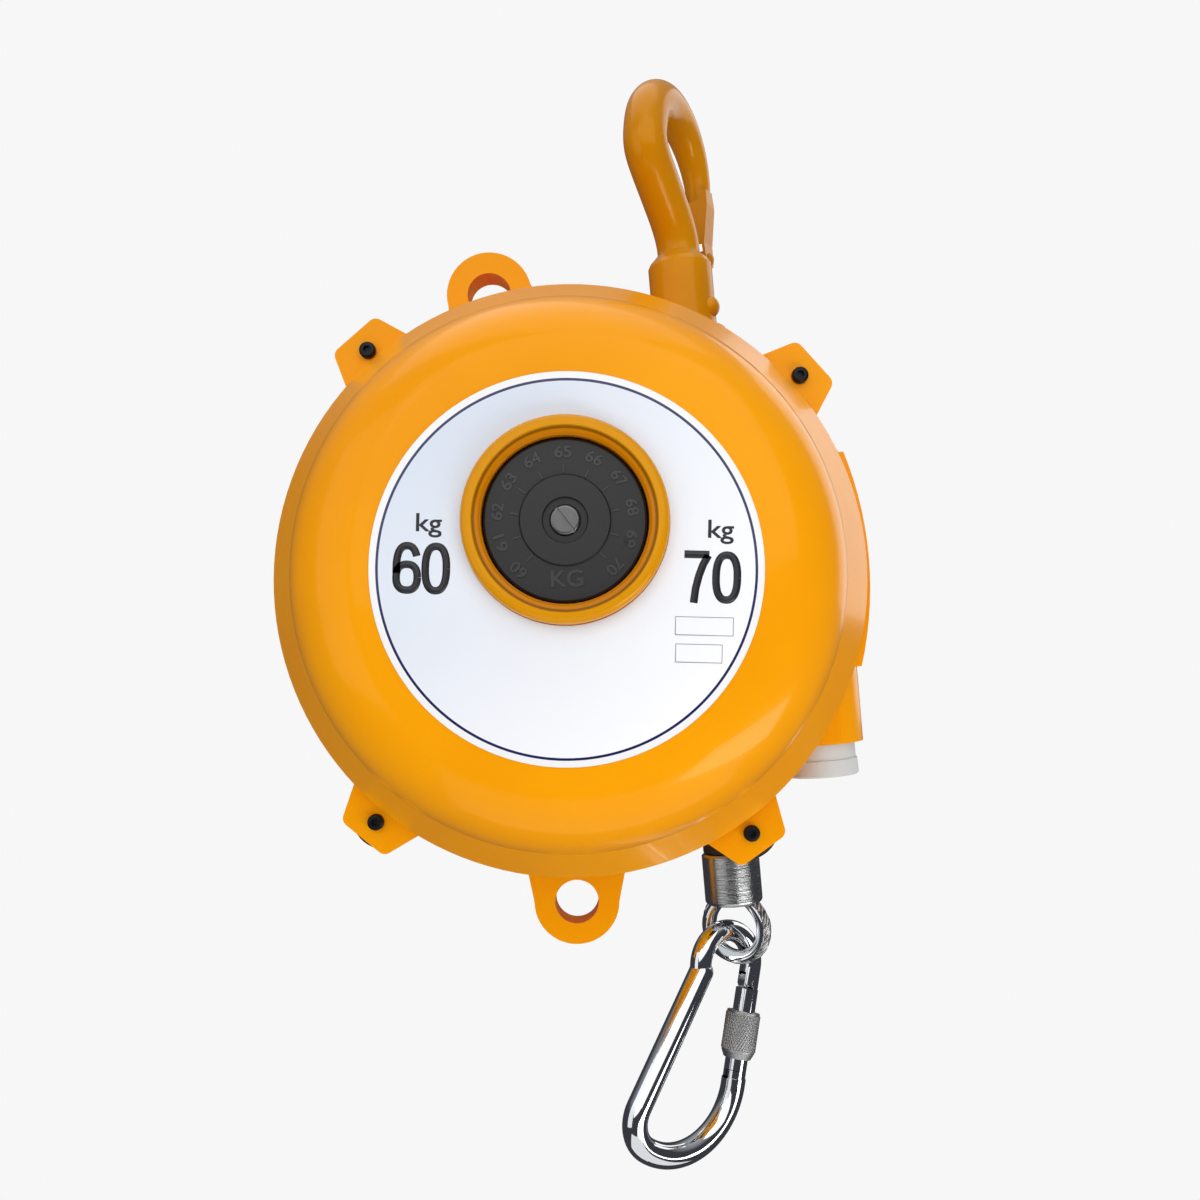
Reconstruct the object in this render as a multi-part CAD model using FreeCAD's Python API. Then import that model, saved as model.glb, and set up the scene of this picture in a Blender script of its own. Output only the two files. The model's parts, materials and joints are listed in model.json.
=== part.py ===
import FreeCAD, Part
import math
import os

# Spring tool balancer, in millimetres.
# +Z is up along the load line, the front of the casing faces -Y, +X is to the right.
# The origin is the bearing point inside the bowl of the upper hook.

# Casing
casing_radius = 124.0
wall = 5.0
parting_y = -44.0
cover_depth = 73.0
cover_rim_width = 19.0
cover_slope_depth = 23.0
cover_slope_inset = 13.5
front_flat_radius = 76.0
back_round = 18.0
load_offset = 63.0
hook_drop = 91.0
casing_drop = casing_radius + hook_drop

# Drum shaft, which stands off the middle of the casing
shaft_offset_x = 1.0
shaft_offset_z = 18.0
shaft_radius = 9.0
shaft_front_y = -114.0
running_gap = 0.05
seat_gap = 0.3

# Window ring, dial and name plate
ring_radius = 38.6
ring_stand = 7.0
window_radius = 31.0
dial_radius = 30.3
dial_thickness = 4.0
dial_recess = 5.0
dial_boss_radius = 16.5
dial_boss_height = 0.9
dial_screw_radius = 5.6
name_plate_radius = 73.3
name_plate_thickness = 0.5

# Corner lugs with their screws and bumpers
lug_stand = 17.0
lug_reach = casing_radius + lug_stand
lug_bolt_inset = 9.3
lug_bolt_radius = lug_reach - lug_bolt_inset
lug_angles = (126.3, 37.3, -59.1, -134.1)
cover_lug_thickness = 8.0
frame_lug_thickness = 12.0
lug_root_half = 19.0
lug_end_half = 11.5
lug_screw_radius = 2.0
lug_screw_head_radius = 3.5
lug_screw_head_height = 3.0
bumper_radius = 15.0
bumper_length = 13.0

# Two ears with holes for slings
ear_angles = (101.0, -94.2)
ear_stands = (16.4, 19.5)
ear_reaches = tuple(casing_radius + stand for stand in ear_stands)
ear_hole_radius = 10.0
ear_radius = 19.5
ear_thickness = 16.0
ear_y = -8.0

# Hook boss and swivel stud
hook_boss_radius = 19.0
hook_boss_top = -98.0
hook_boss_seat = -121.0
stud_radius = 8.0
stud_top = -72.0
stud_washer_thickness = 2.5
stud_washer_radius = 15.0
stud_nut_flats = 24.0
stud_nut_height = 11.0

# Upper hook, in its own upright plane turned about the load line
hook_turn = 61.0
bowl_radius = 21.0
bowl_start_angle = 174.0
bowl_back_inset = 3.5
taper_start_angle = 110.0
bar_radius_top = 10.0
bar_radius_tip = 5.7
tip_drop_angle = 14.0
shank_points = ((0.0, -68.0), (0.0, -60.0), (-2.6, -50.0), (-10.4, -39.5), (-20.0, -28.6))
collar_radius = 15.0
collar_shoulder = -64.0
cross_pin_radius = 4.0
cross_pin_z = -88.5
latch_pivot_u = 28.0
latch_pivot_w = -56.0
latch_eye_radius = 4.6
latch_eye_half = 2.8
latch_sheet = 1.3
latch_top_w = -24.0
latch_rivet_radius = 2.0

# Rope, drum and winding
rope_radius = 2.5
winding_pitch = 6.0
winding_turns = 4.25
drum_taper_angle = 22.6
groove_gap = 0.2
drum_front_y = -10.0
drum_flange_thickness = 3.0
drum_back_y = winding_pitch * (winding_turns + 0.75) + drum_flange_thickness
drum_hub_radius = 17.0
drum_bush_radius = 12.0
drum_bush_length = 12.0
frame_depth = drum_back_y + wall - parting_y
run_off_height = 25.0
run_off_gap = 0.6

# Spring case with its worm wheel
gear_module = 2.5
wheel_room = 30.25
wheel_teeth = round(2.0 * (casing_radius - wheel_room) / gear_module)
wheel_pitch_radius = gear_module * wheel_teeth / 2.0
wheel_face = 12.0
worm_y = -26.0
worm_pitch_radius = 10.25
worm_offset_x = shaft_offset_x + wheel_pitch_radius + worm_pitch_radius
worm_length = 42.0
worm_shaft_radius = 5.5
worm_backlash = 0.9
case_room = 42.0
case_radius = casing_radius - case_room
case_wall = 3.0
case_front_y = -96.0
case_lid_thickness = 3.0
case_hub_radius = 13.0
spring_strip = 1.4
spring_turns = 9
arbor_radius = 20.0
spring_width_gap = 1.0

# Tension adjuster housing and its cap
adjuster_boss_radius = 19.0
adjuster_boss_top = 50.0
adjuster_boss_bottom = -79.0
bearing_block_radius = 9.5
worm_room = 0.8
bush_wall = 2.0
bush_length = 10.0
cap_radius = 16.0
cap_height = 14.6
cap_wall = 2.0
hex_key_flats = 8.0

# Rope end under the casing
nozzle_radius = 15.0
nozzle_boss_radius = 18.0
nozzle_rise = 5.0
nozzle_bottom = nozzle_rise - casing_drop - casing_radius
nozzle_length = 27.0
buffer_radius = 12.5
buffer_height = 9.6
ferrule_radius = 13.5
ferrule_drop = 34.0
ferrule_bottom = nozzle_bottom - ferrule_drop
eye_turn = -34.0
eye_radius = 15.4
eye_section_radius = 4.4
eye_drop = 11.5
eye_mid_z = ferrule_bottom - eye_drop
eye_leg_angle = 40.0

# Carabiner, in its own upright plane
carabiner_turn = 34.0
carabiner_bar = 5.7
carabiner_neck_bar = 5.0
carabiner_neck_angle = 3.0
carabiner_top_radius = 15.4
carabiner_corner_radius = 14.0
carabiner_base_radius = 33.0
carabiner_spine_length = 66.0
carabiner_side = -3.5
carabiner_spine_lean = 38.7
carabiner_gate_lean = 18.0
carabiner_hang_angle = 24.0
carabiner_hang_gap = 1.5
gate_start = 10.0
gate_length = 38.0
gate_radius = 5.3
nose_neck_length = 3.6
gate_tongue_half = 2.2
gate_pivot_back = 2.6
gate_fork_depth = 7.4
gate_relief_depth = 3.4
gate_relief_reach = 7.0
gate_rivet_radius = 1.7
sleeve_radius = 7.8
sleeve_length = 21.5
sleeve_start = 11.0

# Places worked out from the sizes above
casing_x = -load_offset
casing_z = -casing_drop
shaft_x = casing_x + shaft_offset_x
shaft_z = casing_z + shaft_offset_z
cover_front_y = parting_y - cover_depth
ring_front_y = cover_front_y - ring_stand
dial_face_y = ring_front_y + dial_recess
frame_back_y = parting_y + frame_depth
winding_radius = load_offset - shaft_offset_x
worm_x = casing_x + worm_offset_x
worm_tip_radius = worm_pitch_radius + gear_module
case_back_y = worm_y + wheel_face / 2.0
eye_crossing_z = eye_mid_z - math.sqrt(eye_radius ** 2 - carabiner_side ** 2)

X = FreeCAD.Vector(1, 0, 0)
Y = FreeCAD.Vector(0, 1, 0)
Z = FreeCAD.Vector(0, 0, 1)


def vec(x, y, z):
    return FreeCAD.Vector(x, y, z)


def turned(angle, u, w, n=0.0):
    """A point of an upright plane through the load line, turned about Z."""
    a = math.radians(angle)
    return vec(u * math.cos(a) - n * math.sin(a), u * math.sin(a) + n * math.cos(a), w)


def hook_point(u, w, n=0.0):
    return turned(hook_turn, u, w, n)


def snap_point(u, w, n=0.0):
    """A point in the plane of the carabiner, which crosses the eye a little to one side."""
    return turned(carabiner_turn, u, w, n) + turned(eye_turn, carabiner_side, 0.0)


def wire(place, start, *steps):
    """A closed wire: a step is a point for a straight run, or a pair for an arc."""
    edges = []
    last = place(*start)
    for step in steps + (start,):
        if isinstance(step[0], tuple):
            middle, end = place(*step[0]), place(*step[1])
            edges.append(Part.Arc(last, middle, end).toShape())
        else:
            end = place(*step)
            if end.distanceToPoint(last) > 1e-6:
                edges.append(Part.LineSegment(last, end).toShape())
        last = end
    return Part.Wire(edges)


def revolve_y(x, z, start, *steps):
    """Turn an outline of (radius, y) points about a front-to-back axis."""
    face = Part.Face(wire(lambda r, y: vec(x + r, y, z), start, *steps))
    return face.revolve(vec(x, 0, z), Y, 360)


def revolve_z(x, y, start, *steps):
    """Turn an outline of (radius, z) points about an upright axis."""
    face = Part.Face(wire(lambda r, z: vec(x + r, y, z), start, *steps))
    return face.revolve(vec(x, y, 0), Z, 360)


def rod_y(x, z, radius, y_from, y_to):
    return Part.makeCylinder(radius, y_to - y_from, vec(x, y_from, z), Y)


def rod_z(x, y, radius, z_from, z_to):
    return Part.makeCylinder(radius, z_to - z_from, vec(x, y, z_from), Z)


def plate(start, steps, y_from, y_to):
    """A flat outline of (x, z) points, from one depth to another."""
    face = Part.Face(wire(lambda x, z: vec(x, y_from, z), start, *steps))
    return face.extrude(vec(0, y_to - y_from, 0))


def joined(*shapes):
    body = shapes[0]
    for shape in shapes[1:]:
        body = body.fuse(shape)
    return body


def hexagon_z(x, y, flats, z_from, z_to):
    radius = flats / math.sqrt(3)
    corners = [vec(x + radius * math.cos(math.radians(60 * i)),
                   y + radius * math.sin(math.radians(60 * i)), z_from) for i in range(7)]
    return Part.Face(Part.makePolygon(corners)).extrude(vec(0, 0, z_to - z_from))


def hexagon_y(x, z, flats, y_from, y_to):
    radius = flats / math.sqrt(3)
    corners = [vec(x + radius * math.cos(math.radians(60 * i)), y_from,
                   z + radius * math.sin(math.radians(60 * i))) for i in range(7)]
    return Part.Face(Part.makePolygon(corners)).extrude(vec(0, y_to - y_from, 0))


def polar(angle, radius, across=0.0):
    """A point off the middle of the casing, as (x, z)."""
    a = math.radians(angle)
    return (casing_x + radius * math.cos(a) - across * math.sin(a),
            casing_z + radius * math.sin(a) + across * math.cos(a))


# Casing

def cover_outline(inset):
    """Half section of the cover, moved inwards by a wall."""
    rim = casing_radius - inset
    slope_y = parting_y - cover_rim_width
    round_y = slope_y - cover_slope_depth
    round_r = rim - cover_slope_inset
    front = cover_front_y + inset
    flat = front_flat_radius
    middle = math.radians(48)
    arc = (flat + (round_r - flat) * math.cos(middle), round_y + (front - round_y) * math.sin(middle))
    return rim, slope_y, round_r, round_y, arc, flat, front


def cover_solid(inset, back_y):
    rim, slope_y, round_r, round_y, arc, flat, front = cover_outline(inset)
    return revolve_y(casing_x, casing_z, (0.0, back_y), (rim, back_y), (rim, slope_y),
                     (round_r, round_y), (arc, (flat, front)), (0.0, front))


def lug(angle, y_from, y_to):
    root = casing_radius - wall / 2.0
    start = polar(angle, root, -lug_root_half)
    steps = (polar(angle, lug_reach - 2.5, -lug_end_half - 1.2),
             (polar(angle, lug_reach - 0.7, -lug_end_half + 0.2), polar(angle, lug_reach, -lug_end_half + 2.6)),
             polar(angle, lug_reach, lug_end_half - 2.6),
             (polar(angle, lug_reach - 0.7, lug_end_half - 0.2), polar(angle, lug_reach - 2.5, lug_end_half + 1.2)),
             polar(angle, root, lug_root_half))
    return plate(start, steps, y_from, y_to)


def adjuster_flange():
    """Pad on the cover's rim that closes the front of the adjuster housing."""
    reach = worm_offset_x + adjuster_boss_radius + 3.7
    half = 46.0
    inner = casing_radius - wall - 14.0
    return plate((casing_x + inner, casing_z - half),
                 ((casing_x + reach - 7.0, casing_z - half),
                  ((casing_x + reach, casing_z), (casing_x + reach - 7.0, casing_z + half)),
                  (casing_x + inner, casing_z + half)),
                 parting_y - cover_lug_thickness, parting_y)


def window_ring():
    """Raised ring with a rounded, stepped rim round the dial window."""
    back = cover_front_y + wall
    return revolve_y(shaft_x, shaft_z, (window_radius, back), (ring_radius, back),
                     (ring_radius, ring_front_y + 3.0),
                     ((ring_radius - 0.9, ring_front_y + 0.9), (ring_radius - 3.0, ring_front_y)),
                     (ring_radius - 4.2, ring_front_y), (ring_radius - 4.8, ring_front_y + 1.2),
                     (window_radius + 1.0, ring_front_y + 1.6), (window_radius, ring_front_y + 2.8))


def front_cover():
    shell = cover_solid(0.0, parting_y)
    pads = [lug(a, parting_y - cover_lug_thickness, parting_y) for a in lug_angles]
    body = joined(shell, adjuster_flange(), *pads)
    body = body.cut(cover_solid(wall, parting_y + 1.0))
    body = joined(body, window_ring())
    body = body.cut(rod_y(shaft_x, shaft_z, window_radius, cover_front_y - 20, parting_y))
    for a in lug_angles:
        x, z = polar(a, lug_bolt_radius)
        body = body.cut(rod_y(x, z, lug_screw_radius + seat_gap, parting_y - 20, parting_y + 1))
    return body


def name_plate():
    back = cover_front_y
    disc = rod_y(casing_x, casing_z, name_plate_radius, back - name_plate_thickness, back)
    return disc.cut(rod_y(shaft_x, shaft_z, ring_radius + seat_gap, back - 2, back + 1))


def ear(angle, reach):
    """Sling ear that flares into the rim of the frame."""
    root = casing_radius - wall
    foot = ear_radius + 5.0
    half = ear_thickness / 2.0
    x, z = polar(angle, reach)
    web = plate(polar(angle, root, -foot),
                (polar(angle, reach, -ear_radius), polar(angle, reach, ear_radius), polar(angle, root, foot)),
                ear_y - half, ear_y + half)
    body = joined(web, rod_y(x, z, ear_radius, ear_y - half, ear_y + half))
    return body.cut(rod_y(x, z, ear_hole_radius, ear_y - half - 1, ear_y + half + 1))


def bearing_block(z_from, z_to):
    """Rib on the side wall that holds one bush of the worm shaft."""
    outer = casing_x + casing_radius - wall / 2.0
    web = Part.makeBox(outer - worm_x, 2 * bearing_block_radius, z_to - z_from,
                       vec(worm_x, worm_y - bearing_block_radius, z_from))
    return joined(web, rod_z(worm_x, worm_y, bearing_block_radius, z_from, z_to))


def worm_bush_spans():
    """Height ranges of the two bushes, above and under the worm thread."""
    top = shaft_z + worm_length / 2.0 + seat_gap
    bottom = shaft_z - worm_length / 2.0 - seat_gap
    return (top, top + bush_length), (bottom - bush_length, bottom)


def rear_frame():
    rim = casing_radius
    back = frame_back_y
    bend = back_round * (1 - math.sqrt(0.5))
    shell = revolve_y(casing_x, casing_z, (0.0, parting_y), (rim, parting_y), (rim, back - back_round),
                      ((rim - bend, back - bend), (rim - back_round, back)), (0.0, back))
    adjuster = rod_z(worm_x, worm_y, adjuster_boss_radius, casing_z + adjuster_boss_bottom,
                     casing_z + adjuster_boss_top)
    hook_boss = rod_z(0, 0, hook_boss_radius, hook_boss_seat - 12.0, hook_boss_top)
    nozzle_boss = rod_z(0, 0, nozzle_boss_radius, nozzle_bottom + 3.0, nozzle_bottom + nozzle_length + 7.0)
    shaft_boss = rod_y(shaft_x, shaft_z, 24.0, back - 6.0, back + 6.0)
    pads = [lug(a, parting_y, parting_y + frame_lug_thickness) for a in lug_angles]
    ears = [ear(angle, reach) for angle, reach in zip(ear_angles, ear_reaches)]
    body = joined(shell, adjuster, hook_boss, nozzle_boss, shaft_boss, *(pads + ears))
    body = body.cut(Part.makeBox(4 * rim, 60.0, 4 * rim, vec(casing_x - 2 * rim, parting_y - 60.0, casing_z - 2 * rim)))
    inner = rim - wall
    floor = back - wall
    inner_round = back_round - wall
    inner_bend = inner_round * (1 - math.sqrt(0.5))
    cavity = revolve_y(casing_x, casing_z, (0.0, parting_y - 1), (inner, parting_y - 1),
                       (inner, floor - inner_round),
                       ((inner - inner_bend, floor - inner_bend), (inner - inner_round, floor)), (0.0, floor))
    body = body.cut(cavity)
    upper, lower = worm_bush_spans()
    body = body.cut(rod_z(worm_x, worm_y, worm_tip_radius + worm_room, lower[1], upper[0]))
    blocks = [bearing_block(low, high) for low, high in worm_bush_spans()]
    seat = rod_z(0, 0, hook_boss_radius, hook_boss_seat, hook_boss_seat + 14.0)
    inner_hub = rod_y(shaft_x, shaft_z, 16.0, drum_back_y + seat_gap, back)
    guide = rod_z(0, 0, nozzle_boss_radius - 1.0, nozzle_bottom + 3.0, nozzle_bottom + nozzle_length + 4.0)
    body = joined(body, seat, inner_hub, guide, *blocks)
    body = body.cut(rod_z(0, 0, stud_radius + running_gap, hook_boss_seat - 30, hook_boss_top + 10))
    body = body.cut(rod_z(0, 0, hook_boss_radius + 2, hook_boss_seat - 20, hook_boss_seat))
    body = body.cut(rod_z(0, 0, nozzle_radius - 3.0, nozzle_bottom - 5,
                          nozzle_bottom + nozzle_length + 32.0))
    body = body.cut(rod_y(shaft_x, shaft_z, shaft_radius, drum_back_y - 5, back + 20))
    body = body.cut(rod_z(worm_x, worm_y, worm_shaft_radius + bush_wall, casing_z + adjuster_boss_bottom - 1,
                          worm_bush_spans()[0][1]))
    for a in lug_angles:
        x, z = polar(a, lug_bolt_radius)
        body = body.cut(rod_y(x, z, lug_screw_radius, parting_y - 1, parting_y + frame_lug_thickness + 1))
    return body


def lug_screws():
    screws = []
    for a in lug_angles:
        x, z = polar(a, lug_bolt_radius)
        seat = parting_y - cover_lug_thickness
        top = seat - lug_screw_head_height
        head = revolve_y(x, z, (0.0, seat), (lug_screw_head_radius, seat),
                         (lug_screw_head_radius, top + 1.0),
                         ((lug_screw_head_radius - 0.35, top + 0.3), (lug_screw_head_radius - 1.2, top)), (0.0, top))
        shank = rod_y(x, z, lug_screw_radius, seat, parting_y + frame_lug_thickness)
        socket = hexagon_y(x, z, 3.0, top - 1, top + 1.6)
        screws.append(joined(head, shank).cut(socket))
    return Part.makeCompound(screws)


def lug_bumpers():
    """Rubber buffers behind the frame's lugs."""
    pads = []
    for a in lug_angles:
        x, z = polar(a, lug_bolt_radius)
        front = parting_y + frame_lug_thickness
        back = front + bumper_length
        pad = revolve_y(x, z, (0.0, front), (bumper_radius, front), (bumper_radius, back - 4.0),
                        ((bumper_radius - 1.2, back - 1.2), (bumper_radius - 4.0, back)), (0.0, back))
        case = rod_y(casing_x, casing_z, casing_radius + seat_gap, front - 1, back + 1)
        pads.append(pad.cut(case))
    return Part.makeCompound(pads)


def main_shaft():
    back = frame_back_y + 18.0
    body = rod_y(shaft_x, shaft_z, shaft_radius, shaft_front_y, back)
    return body


def shaft_nut():
    seat = frame_back_y + 6.0
    nut = hexagon_y(shaft_x, shaft_z, 30.0, seat, seat + 9.0)
    return nut.cut(rod_y(shaft_x, shaft_z, shaft_radius, seat - 1, seat + 20))


def rope_nozzle():
    """Flanged guide bush with a bell mouth, where the rope leaves the frame."""
    inner = rope_radius + 0.8
    top = nozzle_bottom + nozzle_length
    return revolve_z(0, 0, (inner, nozzle_bottom + 6.0), ((inner + 1.2, nozzle_bottom + 2.6), (inner + 4.0, nozzle_bottom)),
                     (nozzle_radius, nozzle_bottom), (nozzle_radius, nozzle_bottom + 3.0),
                     (nozzle_radius - 3.0, nozzle_bottom + 3.0), (nozzle_radius - 3.0, top), (inner + 3.0, top),
                     ((inner + 0.8, top - 1.5), (inner, top - 4.0)))


def worm_bushes():
    rings = []
    for low, high in worm_bush_spans():
        ring = rod_z(worm_x, worm_y, worm_shaft_radius + bush_wall, low, high)
        rings.append(ring.cut(rod_z(worm_x, worm_y, worm_shaft_radius + running_gap, low - 1, high + 1)))
    return Part.makeCompound(rings)


def adjuster_cap(side):
    """One half of the plastic cap over the adjuster's key end."""
    top = casing_z + adjuster_boss_bottom
    step = top - cap_height * 0.5
    bottom = top - cap_height
    body = revolve_z(worm_x, worm_y, (0.0, bottom), (cap_radius - 0.8, bottom), (cap_radius, bottom + 0.8),
                     (cap_radius - 0.3, step), (cap_radius - 0.8, step), (cap_radius - 0.8, top),
                     (cap_radius - 0.8 - cap_wall, top), (cap_radius - 0.8 - cap_wall, bottom + cap_wall),
                     (0.0, bottom + cap_wall))
    half = Part.makeBox(60, 120, 60, vec(worm_x if side > 0 else worm_x - 60, worm_y - 60, bottom - 20))
    casing = rod_y(casing_x, casing_z, casing_radius + seat_gap, parting_y - 20, frame_back_y)
    return body.common(half).cut(casing)


def stud_washer():
    top = hook_boss_seat
    ring = rod_z(0, 0, stud_washer_radius, top - stud_washer_thickness, top)
    return ring.cut(rod_z(0, 0, stud_radius + seat_gap, top - 10, top + 1))


# Drum

def winding_helix():
    height = winding_pitch * winding_turns
    helix = Part.makeHelix(winding_pitch, height, winding_radius, drum_taper_angle, True)
    helix.rotate(vec(0, 0, 0), X, -90)
    helix.translate(vec(shaft_x, 0, shaft_z))
    return Part.Wire(helix.Edges)


def swept_rope(radius):
    """A round bar along the winding on the drum."""
    return swept(winding_helix(), radius)


def cone_radius(y):
    return winding_radius + y * math.tan(math.radians(drum_taper_angle))


def rope_drum():
    """Tapered drum: its spiral groove grows with the pull of the spring."""
    front = drum_front_y
    land = -winding_pitch * 0.75
    last = winding_pitch * (winding_turns + 0.75)
    small = cone_radius(land)
    large = cone_radius(last)
    flange = large + rope_radius + 2.0
    web = 5.0
    hub = drum_hub_radius
    body = revolve_y(shaft_x, shaft_z, (drum_bush_radius, front), (hub, front), (hub + 3.0, front + web + 4.0),
                     (small - 7.0, front + web + 4.0), (small - 7.0, front), (small + 4.0, front),
                     (small + 4.0, land - 1.5), (small, land), (large, last), (flange, last),
                     (flange, drum_back_y), (large - 6.0, drum_back_y), (small - 6.0, front + web + 12.0),
                     (hub + 3.0, front + web + 12.0), (hub, drum_back_y), (drum_bush_radius, drum_back_y))
    body = body.cut(swept_rope(rope_radius + groove_gap))
    return body.cut(rod_z(0, 0, rope_radius + run_off_gap, shaft_z - run_off_height, shaft_z + run_off_gap))


def rope_windings():
    return swept_rope(rope_radius)


def drum_bushes():
    rings = []
    for low in (drum_front_y, drum_back_y - drum_bush_length):
        high = low + drum_bush_length
        ring = rod_y(shaft_x, shaft_z, drum_bush_radius, low, high)
        rings.append(ring.cut(rod_y(shaft_x, shaft_z, shaft_radius + running_gap, low - 1, high + 1)))
    return Part.makeCompound(rings)


def spring_arbor():
    """Hub keyed to the drum that carries the inner end of the spring."""
    front = case_front_y + case_wall + 2.0
    back = drum_front_y
    return revolve_y(shaft_x, shaft_z, (shaft_radius + running_gap, front), (arbor_radius, front),
                     (arbor_radius, case_back_y - 2.0), (case_hub_radius + 2.0, case_back_y - 1.0),
                     (case_hub_radius + 2.0, back), (shaft_radius + running_gap, back))


# Spring case

def worm_wheel_blank():
    tip = wheel_pitch_radius + gear_module
    front = case_back_y - wheel_face
    return rod_y(shaft_x, shaft_z, tip, front, case_back_y)


def tooth_gap(index):
    """The space between two teeth, wider at the tip."""
    root = wheel_pitch_radius - 1.25 * gear_module
    tip = wheel_pitch_radius + gear_module + 1.0
    space = math.pi * gear_module / 2.0 + worm_backlash
    floor_half = space / 2.0 - 1.25 * gear_module * math.tan(math.radians(20))
    mouth_half = space / 2.0 + (gear_module + 1.0) * math.tan(math.radians(20))
    front = case_back_y - wheel_face - 1
    corners = [vec(root, front, -floor_half), vec(tip, front, -mouth_half),
               vec(tip, front, mouth_half), vec(root, front, floor_half), vec(root, front, -floor_half)]
    gap = Part.Face(Part.makePolygon(corners)).extrude(vec(0, wheel_face + 2, 0))
    gap.rotate(vec(0, 0, 0), Y, 360.0 * index / wheel_teeth)
    gap.translate(vec(shaft_x, 0, shaft_z))
    return gap


def spring_case():
    inner = case_radius - case_wall
    front = case_front_y
    hub_front = dial_face_y + dial_thickness
    rim_root = wheel_pitch_radius - 1.25 * gear_module - 3.0
    gear = worm_wheel_blank().cut([tooth_gap(i) for i in range(wheel_teeth)])
    gear = gear.cut(rod_y(shaft_x, shaft_z, rim_root, case_back_y - wheel_face + 4.0, case_back_y + 1))
    gear = gear.cut(rod_y(shaft_x, shaft_z, inner, case_back_y - wheel_face - 1, case_back_y + 1))
    cup = revolve_y(shaft_x, shaft_z, (shaft_radius + bush_wall, hub_front), (case_hub_radius, hub_front),
                    (case_hub_radius, front), (case_radius - 6.0, front),
                    ((case_radius - 1.8, front + 1.8), (case_radius, front + 6.0)),
                    (case_radius, case_back_y), (inner, case_back_y), (inner, front + case_wall),
                    (shaft_radius + bush_wall, front + case_wall))
    return joined(cup, gear)


def case_lid():
    front = case_back_y
    disc = rod_y(shaft_x, shaft_z, case_radius - 0.2, front, front + case_lid_thickness)
    return disc.cut(rod_y(shaft_x, shaft_z, case_hub_radius + 2.0 + seat_gap, front - 1, front + 5))


def lid_screws():
    screws = []
    for i in range(6):
        a = math.radians(60 * i + 15)
        reach = case_radius - case_wall / 2.0
        x, z = shaft_x + reach * math.cos(a), shaft_z + reach * math.sin(a)
        seat = case_back_y + case_lid_thickness
        screws.append(rod_y(x, z, 2.6, seat, seat + 1.2))
    return Part.makeCompound(screws)


def case_bush():
    back = case_front_y + case_wall
    front = shaft_front_y + 2.0
    ring = rod_y(shaft_x, shaft_z, shaft_radius + bush_wall, front, back)
    return ring.cut(rod_y(shaft_x, shaft_z, shaft_radius + running_gap, front - 1, back + 1))


def mainspring():
    """Coiled strip of half-turn arcs about two middles, tight against the case."""
    front = case_front_y + case_wall + spring_width_gap
    back = case_back_y - spring_width_gap
    outer = case_radius - case_wall - seat_gap
    pitch = (outer - spring_strip - arbor_radius - seat_gap) / spring_turns
    step = pitch / 2.0
    inner = arbor_radius + seat_gap + step / 2.0

    def spiral(extra):
        edges = []
        for i in range(2 * spring_turns):
            radius = inner + extra + i * step
            side = 1 if i % 2 == 0 else -1
            middle_x = shaft_x - side * step / 2.0
            edges.append(Part.Arc(vec(middle_x + side * radius, front, shaft_z),
                                  vec(middle_x, front, shaft_z + side * radius),
                                  vec(middle_x - side * radius, front, shaft_z)).toShape())
        return edges

    inside, outside = spiral(0.0), spiral(spring_strip)
    caps = [Part.LineSegment(outside[0].Vertexes[0].Point, inside[0].Vertexes[0].Point).toShape(),
            Part.LineSegment(inside[-1].Vertexes[-1].Point, outside[-1].Vertexes[-1].Point).toShape()]
    outline = Part.Wire(Part.__sortEdges__(inside + outside + caps))
    return Part.Face(outline).extrude(vec(0, back - front, 0))


def dial_plate():
    """Dial carried by the case's hub, with a raised middle."""
    face = dial_face_y
    back = face + dial_thickness
    return revolve_y(shaft_x, shaft_z, (0.0, back), (dial_radius - 0.6, back), (dial_radius, back - 0.6),
                     (dial_radius, face + 0.8), (dial_radius - 0.8, face), (dial_boss_radius + 0.6, face),
                     (dial_boss_radius, face - dial_boss_height), (dial_screw_radius + 3.0, face - dial_boss_height),
                     (dial_screw_radius + 2.6, face + 0.4), (dial_screw_radius + seat_gap, face + 0.4),
                     (dial_screw_radius + seat_gap, face + 1.6), (0.0, face + 1.6))


def dial_screw():
    seat = dial_face_y + 1.6
    top = dial_face_y - dial_boss_height - 0.3
    head = revolve_y(shaft_x, shaft_z, (0.0, seat), (dial_screw_radius, seat), (dial_screw_radius, top + 0.9),
                     ((dial_screw_radius - 0.3, top + 0.3), (dial_screw_radius - 1.1, top)), (0.0, top))
    slot = Part.makeBox(2 * dial_screw_radius + 2, 3.0, 1.3,
                        vec(-dial_screw_radius - 1, -3.0 + 1.1, -0.65))
    slot.rotate(vec(0, 0, 0), Y, 57.0)
    slot.translate(vec(shaft_x, top, shaft_z))
    return head.cut(slot)


# Worm

def worm_thread():
    """Ridge with sloping sides wound round the worm's root."""
    pitch = math.pi * gear_module
    root = worm_pitch_radius - 1.25 * gear_module + 0.3
    tip = worm_tip_radius
    thick = math.pi * gear_module / 2.0 - worm_backlash
    slope = math.tan(math.radians(20))
    root_half = thick / 2.0 + (worm_pitch_radius - root) * slope
    tip_half = thick / 2.0 - gear_module * slope
    turns = int(worm_length / pitch) - 1
    height = turns * pitch
    start = -height / 2.0 + pitch * worm_phase()
    path = Part.Wire(Part.makeHelix(pitch, height, worm_pitch_radius, 0, False).Edges)
    corners = [vec(root - 0.4, 0, -root_half), vec(tip, 0, -tip_half), vec(tip, 0, tip_half),
               vec(root - 0.4, 0, root_half), vec(root - 0.4, 0, -root_half)]
    ridge = path.makePipeShell([Part.makePolygon(corners)], True, True)
    ridge.rotate(vec(0, 0, 0), Z, 180)
    ridge.translate(vec(worm_x, worm_y, shaft_z + start))
    return ridge


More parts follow.
